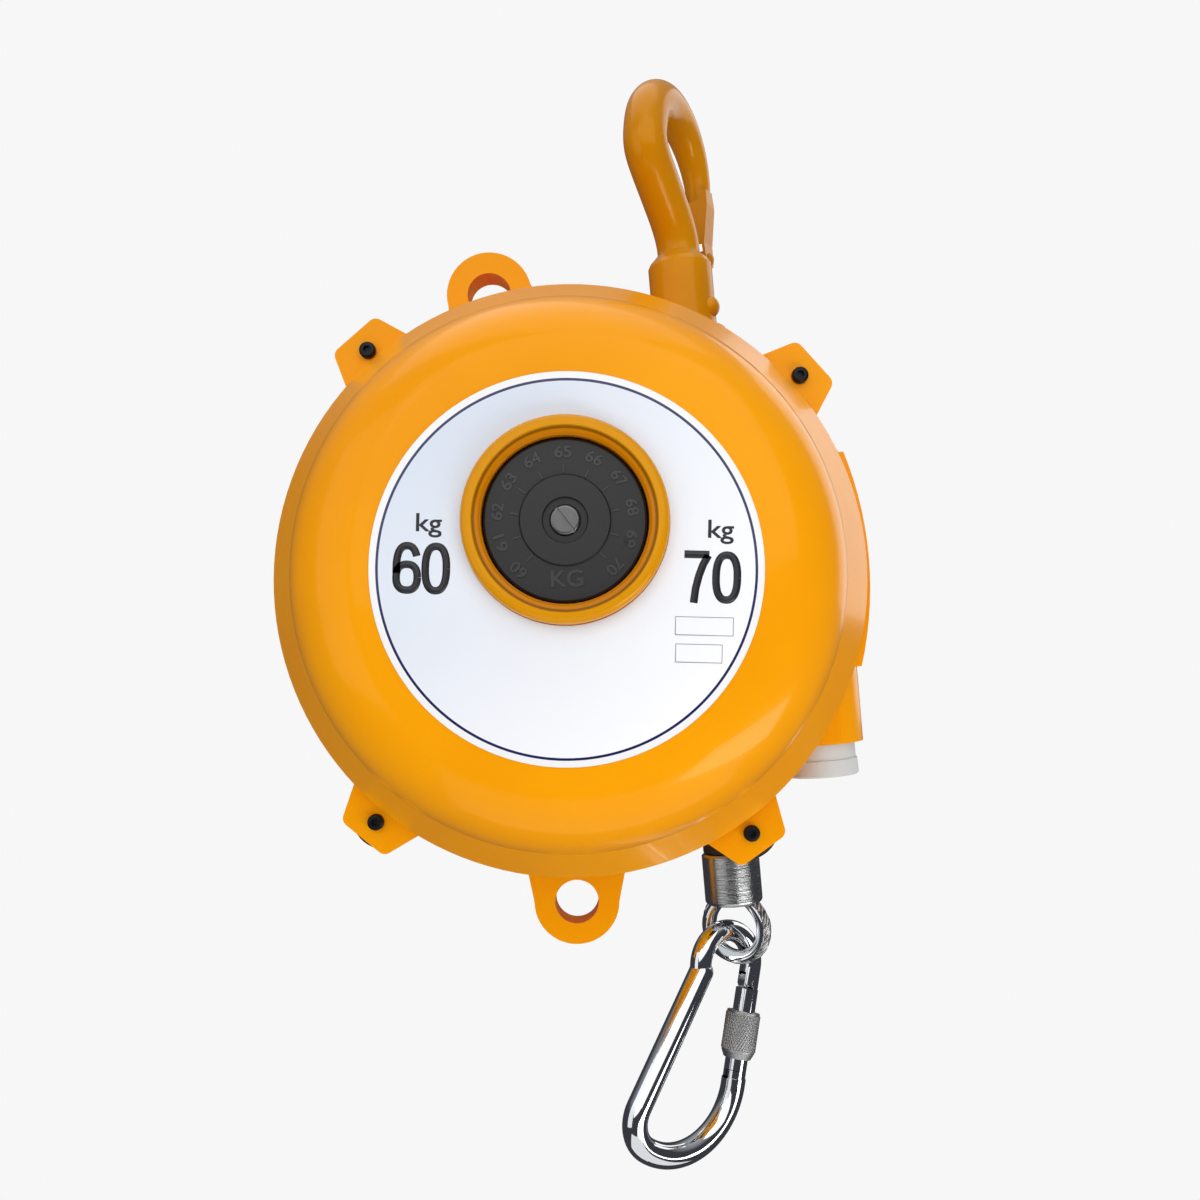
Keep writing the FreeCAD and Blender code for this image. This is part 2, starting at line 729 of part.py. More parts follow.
def worm_phase():
    """Shift that puts the thread into the gap opposite the wheel's middle."""
    pitch = math.pi * gear_module
    turns = int(worm_length / pitch) - 1
    return 0.5 if turns % 2 else 0.0


def adjuster_worm():
    root = worm_pitch_radius - 1.25 * gear_module
    bottom = casing_z + adjuster_boss_bottom - cap_height + cap_wall + 3.0
    low = shaft_z - worm_length / 2.0
    high = shaft_z + worm_length / 2.0
    shaft = rod_z(worm_x, worm_y, worm_shaft_radius, bottom, worm_bush_spans()[0][1] - seat_gap)
    core = rod_z(worm_x, worm_y, root, low, high)
    body = joined(shaft, core, worm_thread())
    return body.cut(hexagon_z(worm_x, worm_y, hex_key_flats, bottom - 1, bottom + 9.0))


def worm_circlip():
    top = casing_z + adjuster_boss_bottom - seat_gap
    ring = rod_z(worm_x, worm_y, worm_shaft_radius + 3.0, top - 1.5, top)
    ring = ring.cut(rod_z(worm_x, worm_y, worm_shaft_radius, top - 5, top + 1))
    mouth = Part.makeBox(20, 3.0, 10, vec(worm_x, worm_y - 1.5, top - 5))
    return ring.cut(mouth)


# Hook

def bowl_bar_radius(angle):
    """Radius of the bar at an angle round the bowl: even at first, then tapering to the tip."""
    t = (taper_start_angle - angle) / (taper_start_angle + tip_drop_angle)
    return bar_radius_top + max(0.0, t) * (bar_radius_tip - bar_radius_top)


def bowl_reach():
    """Distance of the bar's middle line from the centre of the bowl."""
    return bowl_radius + bowl_bar_radius(90.0)


def hook_path():
    """Middle line and bar radius of the hook, from the collar round the bowl to the tip."""
    stations = [(u, w, bar_radius_top) for u, w in shank_points]
    steps = 10
    for i in range(steps + 1):
        angle = bowl_start_angle - i / steps * (bowl_start_angle + tip_drop_angle)
        turn = math.radians(angle)
        reach = bowl_reach()
        if angle > 90:
            reach -= bowl_back_inset * math.cos(turn) ** 4
        stations.append((reach * math.cos(turn), reach * math.sin(turn) - bowl_radius, bowl_bar_radius(angle)))
    return stations


def hook_bar():
    stations = hook_path()
    spine = Part.BSplineCurve()
    spine.interpolate([hook_point(u, w) for u, w, r in stations])
    rings = []
    for u, w, r in stations:
        at = hook_point(u, w)
        circle = Part.Circle(at, spine.tangent(spine.parameter(at))[0], r)
        circle.XAxis = hook_point(0, 0, 1)
        rings.append(Part.Wire(circle.toShape()))
    bar = Part.makeLoft(rings, True, False)
    u, w, r = stations[-1]
    return joined(bar, Part.makeSphere(r, hook_point(u, w)))


def hook_latch_ear():
    """Small flat ear on the shank that carries the latch rivet."""
    half = latch_eye_half
    low = latch_pivot_w - latch_eye_radius
    outline = wire(lambda u, w: hook_point(u, w, -half), (0.0, low - 2.0), (latch_pivot_u, low),
                   ((latch_pivot_u + latch_eye_radius, latch_pivot_w), (latch_pivot_u, latch_pivot_w + latch_eye_radius)),
                   ((latch_pivot_u - latch_eye_radius * 0.8, latch_pivot_w + latch_eye_radius * 0.6),
                    (latch_pivot_u - latch_eye_radius, latch_pivot_w)),
                   (0.0, latch_pivot_w - 0.5))
    across = hook_point(0, 0, 2 * half) - hook_point(0, 0, 0)
    return Part.Face(outline).extrude(across)


def upper_hook():
    bottom = hook_boss_top + seat_gap
    collar = revolve_z(0, 0, (0.0, collar_shoulder + 5), (bar_radius_top - 1.5, collar_shoulder + 5),
                       ((bar_radius_top + 1.4, collar_shoulder + 1.6), (collar_radius - 1.0, collar_shoulder - 1.0)),
                       (collar_radius, collar_shoulder - 3.0), (collar_radius, bottom + 1.0),
                       (collar_radius - 1.0, bottom), (0.0, bottom))
    body = joined(hook_bar(), collar, hook_latch_ear())
    body = body.cut(rod_z(0, 0, stud_radius, bottom - 5, stud_top))
    body = body.cut(hook_pin(cross_pin_radius, 0.0, cross_pin_z, 2 * collar_radius))
    return body.cut(hook_pin(latch_rivet_radius, latch_pivot_u, latch_pivot_w, 20.0))


def hook_pin(radius, u, w, half):
    """A pin across the plane of the hook."""
    start = hook_point(u, w, -half)
    across = hook_point(u, w, half) - start
    return Part.makeCylinder(radius, 2 * half, start, across)


def swivel_stud():
    bottom = hook_boss_seat - stud_washer_thickness - seat_gap - stud_nut_height - 2.0
    body = rod_z(0, 0, stud_radius, bottom, stud_top - seat_gap)
    return body.cut(hook_pin(cross_pin_radius, 0.0, cross_pin_z, 2 * collar_radius))


def hook_cross_pin():
    """Riveted pin through collar and stud, with a domed head at each end."""
    body = hook_pin(cross_pin_radius, 0.0, cross_pin_z, collar_radius)
    heads = []
    for side in (-1, 1):
        ball = Part.makeSphere(cross_pin_radius + 1.0, hook_point(0, cross_pin_z, side * (collar_radius - 2.0)))
        heads.append(ball.cut(rod_z(0, 0, collar_radius, cross_pin_z - 20, cross_pin_z + 20)))
    return joined(body, *heads)


def stud_nut():
    top = hook_boss_seat - stud_washer_thickness - seat_gap
    nut = hexagon_z(0, 0, stud_nut_flats, top - stud_nut_height, top)
    return nut.cut(rod_z(0, 0, stud_radius, top - 30, top + 1))


def latch_rivet():
    half = latch_eye_half + seat_gap + latch_sheet
    body = hook_pin(latch_rivet_radius, latch_pivot_u, latch_pivot_w, half + seat_gap)
    heads = []
    for side in (-1, 1):
        foot = half + seat_gap
        ball = Part.makeSphere(3.2, hook_point(latch_pivot_u, latch_pivot_w, side * (foot - 1.6)))
        slab = hook_pin(6.0, latch_pivot_u, latch_pivot_w, foot)
        heads.append(ball.cut(slab))
    return joined(body, *heads)


def safety_latch():
    """Pressed channel that closes the throat, with claws round the hook's tip."""
    tip_u = bowl_reach() * math.cos(math.radians(tip_drop_angle))
    claw_angle = math.degrees(math.asin((latch_top_w + bowl_radius) / bowl_reach()))
    inner_bottom = latch_eye_half + seat_gap
    inner_top = bowl_bar_radius(claw_angle) + seat_gap
    low = latch_pivot_w - latch_eye_radius - 0.6
    back_low = latch_pivot_w + latch_eye_radius + 2.2
    plate_u = tip_u - bar_radius_tip - seat_gap - latch_sheet

    def wedge(extra, u_from, u_to):
        outline = wire(lambda n, w: hook_point(u_from, w, n), (-inner_bottom - extra, low),
                       (inner_bottom + extra, low), (inner_bottom + extra, back_low),
                       (inner_top + extra, latch_top_w - 7.0), (inner_top + extra, latch_top_w),
                       (-inner_top - extra, latch_top_w), (-inner_top - extra, latch_top_w - 7.0),
                       (-inner_bottom - extra, back_low))
        return Part.Face(outline).extrude(hook_point(u_to, 0, 0) - hook_point(u_from, 0, 0))

    side = wire(lambda u, w: hook_point(u, w, -20.0), (latch_pivot_u - latch_eye_radius, latch_pivot_w),
                ((latch_pivot_u, latch_pivot_w - latch_eye_radius), (latch_pivot_u + latch_eye_radius, latch_pivot_w)),
                (plate_u + 9.5, latch_top_w - 9.0), (plate_u + 7.5, latch_top_w), (plate_u, latch_top_w),
                (plate_u, back_low), (plate_u, back_low - 1.0))
    profile = Part.Face(side).extrude(hook_point(0, 0, 40.0) - hook_point(0, 0, 0))
    body = wedge(latch_sheet, plate_u - 5, plate_u + 20).common(profile)
    body = body.cut(wedge(0.0, plate_u + latch_sheet, plate_u + 30))
    body = body.cut(hook_pin(latch_rivet_radius + running_gap, latch_pivot_u, latch_pivot_w, 20.0))
    lower = wire(lambda u, w: hook_point(u, w, -inner_bottom), (plate_u - 6, low - 2), (plate_u + 20, low - 2),
                 (plate_u + 20, back_low), (plate_u - 6, back_low))
    body = body.cut(Part.Face(lower).extrude(hook_point(0, 0, 2 * inner_bottom) - hook_point(0, 0, 0)))
    notch = hook_pin_along(bar_radius_tip + seat_gap, latch_top_w)
    return body.cut(notch)


def hook_pin_along(radius, w):
    """Round notch in the latch's top edge, along the plane of the hook."""
    start = hook_point(0, w, 0)
    along = hook_point(60, w, 0) - start
    return Part.makeCylinder(radius * 0.75, 60, start, along)


# Rope end

def rope_run():
    """Straight rope from the drum down through the guide into the ferrule."""
    return rod_z(0, 0, rope_radius, ferrule_bottom + 12.0, shaft_z - 1.0)


def rubber_buffer():
    top = nozzle_bottom - seat_gap
    bottom = top - buffer_height
    body = revolve_z(0, 0, (rope_radius, bottom), (buffer_radius - 1.0, bottom), (buffer_radius, bottom + 1.0),
                     (buffer_radius, top - 3.0), ((buffer_radius - 0.9, top - 0.9), (buffer_radius - 3.0, top)),
                     (rope_radius, top))
    return body


def eye_place(u, w, n=0.0):
    return turned(eye_turn, u, w, n)


def eye_path():
    """Loop of the rope round the thimble, with both legs inside the ferrule."""
    a = math.radians(eye_leg_angle)
    u, w = eye_radius * math.cos(a), eye_mid_z + eye_radius * math.sin(a)
    rise = ferrule_bottom + 8.0 - w
    end_u = u - rise * math.tan(a)
    top = ferrule_bottom + 8.0
    left = Part.LineSegment(eye_place(-end_u, top), eye_place(-u, w)).toShape()
    loop = Part.Arc(eye_place(-u, w), eye_place(0, eye_mid_z - eye_radius), eye_place(u, w)).toShape()
    right = Part.LineSegment(eye_place(u, w), eye_place(end_u, top)).toShape()
    return Part.Wire([left, loop, right])


def swept(path, radius):
    edge = path.OrderedEdges[0]
    start = path.OrderedVertexes[0].Point
    tangent = edge.tangentAt(edge.FirstParameter)
    if edge.Orientation == "Reversed":
        tangent = edge.tangentAt(edge.LastParameter)
    ring = Part.Wire(Part.makeCircle(radius, start, tangent))
    return path.makePipeShell([ring], True, True)


def rope_eye():
    return swept(eye_path(), rope_radius)


def rope_thimble():
    """Half-round channel that lines the eye, open on its outer side."""
    bar = swept(eye_path(), eye_section_radius)
    bore = swept(eye_path(), rope_radius)
    ring_axis = eye_place(0, eye_mid_z, 1.0) - eye_place(0, eye_mid_z, 0.0)
    keep = Part.makeCylinder(eye_radius + 0.6, 60, eye_place(0, eye_mid_z, -30), ring_axis)
    body = bar.cut(bore).common(keep)
    above = Part.makeBox(120, 120, 60, vec(-60, -60, ferrule_bottom - seat_gap))
    return body.cut(above)


def rope_ferrule():
    top = nozzle_bottom - seat_gap - buffer_height
    bottom = ferrule_bottom
    r = ferrule_radius
    body = revolve_z(0, 0, (0.0, bottom), (r - 2.0, bottom), ((r - 0.6, bottom + 0.6), (r, bottom + 2.0)),
                     (r, top - 1.0), (r - 1.0, top), (0.0, top))
    return body.cut([rope_eye(), rope_run()])


# Carabiner

def carabiner_outline():
    """Corner points of the bent bar, worked out from its radii and leans."""
    hang = math.radians(carabiner_hang_angle)
    thimble_w = eye_crossing_z
    reach = carabiner_top_radius - carabiner_neck_bar - eye_section_radius - carabiner_hang_gap
    a = (-reach * math.cos(hang), thimble_w - reach * math.sin(hang))
    spine = math.radians(carabiner_spine_lean)
    gate = math.radians(carabiner_gate_lean)
    d_spine = (-math.sin(spine), -math.cos(spine))
    n_spine = (-math.cos(spine), math.sin(spine))
    d_gate = (-math.sin(gate), -math.cos(gate))
    n_gate = (math.cos(gate), -math.sin(gate))
    neck = math.radians(carabiner_neck_angle)
    spine_start = along(a, (-math.cos(neck), -math.sin(neck)), carabiner_top_radius)
    spine_end = along(spine_start, d_spine, carabiner_spine_length)
    corner = along(spine_end, n_spine, -carabiner_corner_radius)
    gate_line = along(a, n_gate, carabiner_top_radius)
    offset = along(gate_line, n_gate, -carabiner_base_radius)
    span = carabiner_base_radius - carabiner_corner_radius
    rel = (offset[0] - corner[0], offset[1] - corner[1])
    b = rel[0] * d_gate[0] + rel[1] * d_gate[1]
    c = rel[0] ** 2 + rel[1] ** 2 - span ** 2
    s = -b - math.sqrt(b * b - c)
    base = along(offset, d_gate, s)
    gate_end = along(gate_line, d_gate, s)
    reach_out = ((corner[0] - base[0]) / span, (corner[1] - base[1]) / span)
    meet = along(corner, reach_out, carabiner_corner_radius)
    return a, spine_start, spine_end, corner, meet, base, gate_line, gate_end, d_gate, n_gate, d_spine


def along(point, direction, distance):
    return (point[0] + direction[0] * distance, point[1] + direction[1] * distance)


def arc_middle(centre, p, q, radius):
    m = ((p[0] + q[0]) / 2.0 - centre[0], (p[1] + q[1]) / 2.0 - centre[1])
    size = math.hypot(*m)
    return along(centre, (m[0] / size, m[1] / size), radius)


def carabiner_paths():
    """Middle lines of the bar: from the gate's pivot to the neck, and on round to the nose."""
    a, s0, s1, corner, meet, base, g0, g1, d_gate, n_gate, d_spine = carabiner_outline()
    pivot = along(g0, d_gate, gate_start)
    nose = along(g0, d_gate, gate_start + gate_length)
    top_mid = along(a, (0.0, 1.0), carabiner_top_radius)
    corner_mid = arc_middle(corner, s1, meet, carabiner_corner_radius)
    base_mid = arc_middle(base, meet, g1, carabiner_base_radius)
    upper = [Part.LineSegment(snap_point(*pivot), snap_point(*g0)).toShape(),
             Part.Arc(snap_point(*g0), snap_point(*top_mid), snap_point(*s0)).toShape()]
    lower = [Part.LineSegment(snap_point(*s0), snap_point(*s1)).toShape(),
             Part.Arc(snap_point(*s1), snap_point(*corner_mid), snap_point(*meet)).toShape(),
             Part.Arc(snap_point(*meet), snap_point(*base_mid), snap_point(*g1)).toShape(),
             Part.LineSegment(snap_point(*g1), snap_point(*nose)).toShape()]
    return Part.Wire(upper), Part.Wire(lower)


def gate_axis():
    a, s0, s1, corner, meet, base, g0, g1, d_gate, n_gate, d_spine = carabiner_outline()
    start = along(g0, d_gate, gate_start)
    return start, d_gate, n_gate


def gate_slab(from_s, to_s, half, reach=12.0):
    """A flat block along the gate, as thick as its tongue."""
    start, d, n = gate_axis()
    p = [along(along(start, d, s), n, q) for s, q in ((from_s, -reach), (to_s, -reach), (to_s, reach), (from_s, reach))]
    face = Part.Face(Part.makePolygon([snap_point(u, w, -half) for u, w in p + p[:1]]))
    return face.extrude(snap_point(0, 0, 2 * half) - snap_point(0, 0, 0))


def gate_pin(radius, s, half):
    start, d, n = gate_axis()
    u, w = along(start, d, s)
    across = snap_point(u, w, half) - snap_point(u, w, -half)
    return Part.makeCylinder(radius, 2 * half, snap_point(u, w, -half), across)


def gate_rod(radius, from_s, to_s):
    start, d, n = gate_axis()
    p, q = along(start, d, from_s), along(start, d, to_s)
    begin, end = snap_point(*p), snap_point(*q)
    return Part.makeCylinder(radius, (end - begin).Length, begin, end - begin)


def gate_relief():
    """Bevel on the inner side of the bar's end, where the gate swings in."""
    start, d, n = gate_axis()
    corners = [along(along(start, d, s), n, q)
               for s, q in ((0.1, 0.0), (-gate_relief_depth, -gate_relief_reach), (0.1, -gate_relief_reach), (0.1, 0.0))]
    face = Part.Face(Part.makePolygon([snap_point(u, w, -gate_relief_reach) for u, w in corners]))
    return face.extrude(snap_point(0, 0, 2 * gate_relief_reach) - snap_point(0, 0, 0))


def carabiner_body():
    upper, lower = carabiner_paths()
    shoulder = Part.makeSphere(carabiner_bar, snap_point(*carabiner_outline()[1]))
    bar = joined(swept(upper, carabiner_neck_bar), swept(lower, carabiner_bar), shoulder)
    bar = bar.cut(gate_slab(-gate_fork_depth, 1.0, gate_tongue_half + seat_gap))
    bar = bar.cut(gate_relief())
    bar = bar.cut(gate_pin(gate_rivet_radius, -gate_pivot_back, 20.0))
    nose = gate_slab(gate_length - 0.5, gate_length + 6.0, 1.6)
    slot = nose.common(gate_rod(carabiner_bar + 1, gate_length - 0.5, gate_length + 4.0))
    turning = gate_rod(carabiner_bar + 1, gate_length - 1, gate_length + nose_neck_length)
    neck = turning.cut(gate_rod(gate_radius, gate_length - 2, gate_length + nose_neck_length + 1))
    return bar.cut(slot).cut(neck)


def carabiner_gate():
    tube = gate_rod(gate_radius, seat_gap, gate_length - seat_gap)
    tongue = gate_slab(seat_gap - gate_fork_depth, 2.0, gate_tongue_half, 4.5)
    rounding = gate_pin(gate_fork_depth - gate_pivot_back - seat_gap, -gate_pivot_back, 20.0)
    blade = gate_slab(gate_length - 2.0, gate_length + 3.2, 1.3, 3.6)
    body = joined(tube, tongue.common(joined(rounding, gate_slab(0.0, 2.0, 20.0))), blade)
    return body.cut(gate_pin(gate_rivet_radius + running_gap, -gate_pivot_back, 20.0))


def gate_rivet():
    return gate_pin(gate_rivet_radius, -gate_pivot_back, carabiner_neck_bar)


def locking_sleeve():
    """Knurled screw sleeve, tapered at its lower end, part way along the gate."""
    start, d, n = gate_axis()
    bore = gate_rod(gate_radius + running_gap, sleeve_start - 1, sleeve_start + sleeve_length + 1)
    body = gate_rod(sleeve_radius, sleeve_start, sleeve_start + sleeve_length - 3.0)
    p = along(start, d, sleeve_start + sleeve_length - 3.0)
    q = along(start, d, sleeve_start + sleeve_length)
    axis = snap_point(*q) - snap_point(*p)
    taper = Part.makeCone(sleeve_radius, sleeve_radius - 1.4, 3.0, snap_point(*p), axis)
    return joined(body, taper).cut(bore)


def parts():
    return {
        "front_cover": front_cover, "rear_frame": rear_frame, "name_plate": name_plate,
        "lug_screws": lug_screws, "lug_bumpers": lug_bumpers, "main_shaft": main_shaft,
        "shaft_nut": shaft_nut, "rope_nozzle": rope_nozzle, "worm_bushes": worm_bushes,
        "adjuster_cap_left": lambda: adjuster_cap(-1), "adjuster_cap_right": lambda: adjuster_cap(1),
        "stud_washer": stud_washer, "rope_drum": rope_drum, "rope_windings": rope_windings,
        "drum_bushes": drum_bushes, "spring_arbor": spring_arbor, "spring_case": spring_case,
        "case_lid": case_lid, "lid_screws": lid_screws, "case_bush": case_bush,
        "mainspring": mainspring, "dial_plate": dial_plate, "dial_screw": dial_screw,
        "adjuster_worm": adjuster_worm, "worm_circlip": worm_circlip, "upper_hook": upper_hook,
        "swivel_stud": swivel_stud, "hook_cross_pin": hook_cross_pin, "stud_nut": stud_nut,
        "latch_rivet": latch_rivet, "safety_latch": safety_latch, "rope_run": rope_run,
        "rubber_buffer": rubber_buffer, "rope_eye": rope_eye, "rope_thimble": rope_thimble,
        "rope_ferrule": rope_ferrule, "carabiner_body": carabiner_body, "gate_rivet": gate_rivet,
        "carabiner_gate": carabiner_gate, "locking_sleeve": locking_sleeve,
    }


os.makedirs("parts", exist_ok=True)
for name, make in parts().items():
    shape = make()
    print(name, "solids", len(shape.Solids), "valid", shape.isValid(), "volume", round(shape.Volume))
    shape.exportStep("parts/" + name + ".step")
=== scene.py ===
import json
import math

import bpy
from mathutils import Matrix, Vector


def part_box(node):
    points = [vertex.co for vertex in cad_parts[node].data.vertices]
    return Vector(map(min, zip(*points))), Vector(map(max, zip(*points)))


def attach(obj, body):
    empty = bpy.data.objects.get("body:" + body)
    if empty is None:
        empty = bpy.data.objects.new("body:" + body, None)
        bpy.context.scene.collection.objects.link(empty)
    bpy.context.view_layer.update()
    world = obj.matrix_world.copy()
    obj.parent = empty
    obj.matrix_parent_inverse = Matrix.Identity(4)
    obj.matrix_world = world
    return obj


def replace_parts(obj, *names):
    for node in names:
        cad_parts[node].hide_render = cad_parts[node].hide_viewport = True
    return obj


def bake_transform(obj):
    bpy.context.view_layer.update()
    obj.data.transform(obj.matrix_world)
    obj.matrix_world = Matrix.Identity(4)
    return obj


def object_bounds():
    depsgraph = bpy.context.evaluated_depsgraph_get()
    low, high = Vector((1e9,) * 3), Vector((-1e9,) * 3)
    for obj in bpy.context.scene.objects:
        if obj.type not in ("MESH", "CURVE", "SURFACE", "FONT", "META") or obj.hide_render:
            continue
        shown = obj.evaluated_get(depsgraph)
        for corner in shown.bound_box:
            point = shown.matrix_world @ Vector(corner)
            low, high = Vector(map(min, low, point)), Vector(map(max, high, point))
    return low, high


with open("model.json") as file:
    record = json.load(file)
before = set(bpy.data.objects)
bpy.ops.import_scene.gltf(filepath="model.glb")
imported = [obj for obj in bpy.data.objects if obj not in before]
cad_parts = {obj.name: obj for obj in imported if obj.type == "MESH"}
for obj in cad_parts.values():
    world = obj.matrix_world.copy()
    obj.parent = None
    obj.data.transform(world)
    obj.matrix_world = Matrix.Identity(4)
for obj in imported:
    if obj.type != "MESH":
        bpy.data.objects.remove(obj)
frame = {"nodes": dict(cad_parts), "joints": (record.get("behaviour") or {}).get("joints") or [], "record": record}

# Looks of a spring tool balancer, in metres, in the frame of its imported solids.

cad_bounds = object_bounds()
mm = 0.001
box_corners = ((-1, -1), (1, -1), (1, 1), (-1, 1))
nodes = frame["nodes"]
joints = {joint["name"]: joint for joint in frame["joints"]}

# Places read from the solids
plate_low, plate_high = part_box("name_plate")
plate_middle = (plate_low + plate_high) / 2
plate_radius = (plate_high.x - plate_low.x) / 2
plate_face = plate_low.y
dial_low, dial_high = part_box("dial_plate")
dial_middle = (dial_low + dial_high) / 2
dial_radius = (dial_high.x - dial_low.x) / 2
dial_boss_height = 0.9 * mm
dial_face = dial_low.y + dial_boss_height
drum_middle = Vector(joints["drum_spin"]["pos_m"])

# Rim round the dial's window, where shade is painted into the cover's colour
window_radius = dial_radius - 1.2 * mm
ring_groove_radius = 33.6 * mm
ring_outer_radius = 39.0 * mm
ring_back = plate_face + 0.2 * mm

# Print on the name plate, which is set a little askew
plate_turn = math.radians(-6.3)
plate_line_radius = 70.3 * mm
plate_line_width = 1.0 * mm
print_lift = 0.05 * mm
figure_shift = 0.28
figure_stroke = 0.148
box_line_width = 0.35 * mm
# Each with its place on the plate and its size, in millimetres
load_marks = (("60", -53.7, -0.9, 19.1), ("70", 53.8, -1.6, 19.3))
unit_marks = ((-51.3, 15.0, 9.6, 8.9), (56.7, 15.2, 9.6, 8.9))
blank_boxes = ((51.4, -19.8, 21.4, 6.7), (49.6, -29.9, 17.2, 6.7))

# Dial scale
dial_turn = math.radians(-3.0)
scale_first, scale_last = 60, 70
scale_start = math.radians(225.0)
scale_step = math.radians(-27.0)
number_radius = 25.2 * mm
number_height = 4.4 * mm
number_width = 6.3 * mm
number_lift = 0.35 * mm
unit_radius = 21.5 * mm
unit_width = 12.0 * mm
unit_height = 6.4 * mm
tick_inner = 17.4 * mm
tick_length = 3.2 * mm
tick_width = 0.55 * mm

# Rope and its eye
rope_radius = 2.5 * mm
rope_strands = 6
rope_lay = 17.0 * mm
rope_step = 0.6 * mm
eye_turn = math.radians(-34.0)
eye_radius = 15.4 * mm
eye_middle = -379.5 * mm
eye_leg_angle = math.radians(40.0)
eye_leg_top = -360.0 * mm

# Locking sleeve
sleeve_radius = 7.8 * mm
gate_pivot_back = 2.6 * mm
knurl_start = 12.2 * mm
knurl_length = 16.5 * mm
knurl_count = 36
knurl_size = 0.42 * mm
knurl_turns = 0.16

# Camera of the photograph
camera_place = Vector((-53.9, -537.0, -253.1)) * mm
camera_roll = math.radians(4.9)
camera_lens = 34.05
photograph_size = 1200
centre_below_middle = 70

# Stage
pale = (0.93, 0.93, 0.935)
rope_travel = joints["rope_slide"]["range_m"][1]
floor_clearance = 0.1
floor_reach = 40.0


# Trees of nodes

class Value:
    """A socket on which sums can be written; each sum adds its Math node."""

    def __init__(self, tree, socket):
        self.tree = tree
        self.socket = socket

    def maths(self, operation, *others):
        """A Math node on this value and the others."""
        return self.tree.add("ShaderNodeMath", {"operation": operation}, dict(enumerate((self, *others))))

    def part(self, name):
        """Another output of the same node."""
        return Value(self.tree, self.socket.node.outputs[name])

    def __add__(self, other):
        return self.maths("ADD", other)

    def __sub__(self, other):
        return self.maths("SUBTRACT", other)

    def __mul__(self, other):
        return self.maths("MULTIPLY", other)

    def __truediv__(self, other):
        return self.maths("DIVIDE", other)

    def __rsub__(self, other):
        return self * -1 + other

    def __lt__(self, other):
        return self.maths("LESS_THAN", other)

    def __gt__(self, other):
        return self.maths("GREATER_THAN", other)

    __radd__ = __add__
    __rmul__ = __mul__


class Tree:
    """A node tree whose nodes all come from one method."""

    def __init__(self, tree):
        self.tree = tree

    def add(self, kind, settings=None, inputs=None, output=0):
        node = self.tree.nodes.new(kind)
        for name, value in (settings or {}).items():
            if name == "stops":
                self.set_stops(node, value)
            else:
                setattr(node, name, value)
        for key, value in (inputs or {}).items():
            self.join(value, node.inputs[key])
        return Value(self, node.outputs[output]) if len(node.outputs) else node

    def set_stops(self, node, stops):
        elements = node.color_ramp.elements
        while len(elements) < len(stops):
            elements.new(0.5)
        for element, (place, shade) in zip(elements, stops):
            element.position = place
            element.color = shade if len(shade) == 4 else (*shade, 1)

    def join(self, value, socket):
        if isinstance(value, Value):
            self.tree.links.new(value.socket, socket)
        else:
            socket.default_value = value


class Finish(Tree):
    """A material. Its maths reads the place on the object, in metres."""

    def __init__(self, name, **settings):
        self.material = bpy.data.materials.new(name)
        self.material.use_nodes = True
        super().__init__(self.material.node_tree)
        self.surface = self.tree.nodes["Principled BSDF"]
        self.place = self.add("ShaderNodeTexCoord", output="Object")
        self.paint(**settings)

    def paint(self, **settings):
        """Sets or links the surface's sockets; underscores stand for spaces."""
        for name, value in settings.items():
            if isinstance(value, tuple) and len(value) == 3:
                value = (*value, 1)
            self.join(value, self.surface.inputs[name.replace("_", " ")])

    def round_about(self, middle):
        """The distance from an axis along Y, and its two shares."""
        split = self.add("ShaderNodeSeparateXYZ", inputs={0: self.place})
        across = split - middle.x
        up = split.part("Z") - middle.z
        return (across * across + up * up).maths("SQRT"), across, up

    def depth(self):
        return self.add("ShaderNodeSeparateXYZ", inputs={0: self.place}, output="Y")

    def noise(self, scale, detail=3.0, roughness=0.5, place=None):
        return self.add("ShaderNodeTexNoise", inputs={"Vector": place or self.place, "Scale": scale,
                                                      "Detail": detail, "Roughness": roughness})

    def ramp(self, value, *stops):
        return self.add("ShaderNodeValToRGB", {"stops": stops}, {0: value})

    def blend(self, amount, first, second):
        """A mix of two colours."""
        colours = [value if isinstance(value, Value) else (*value, 1) for value in (first, second)]
        return self.add("ShaderNodeMix", {"data_type": "RGBA"}, {0: amount, 6: colours[0], 7: colours[1]}, 2)

    def band(self, value, middle, width, soft=0.15):
        """One on a line of that width, and zero beside it."""
        away = (value - middle).maths("ABSOLUTE")
        edge = width / 2
        return self.add("ShaderNodeMapRange", {"interpolation_type": "SMOOTHSTEP"},
                        {0: away, 1: edge * (1 - soft), 2: edge * (1 + soft), 3: 1.0, 4: 0.0})

    def bump(self, height, strength, distance):
        return self.add("ShaderNodeBump",
                        inputs={"Height": height, "Strength": strength, "Distance": distance})


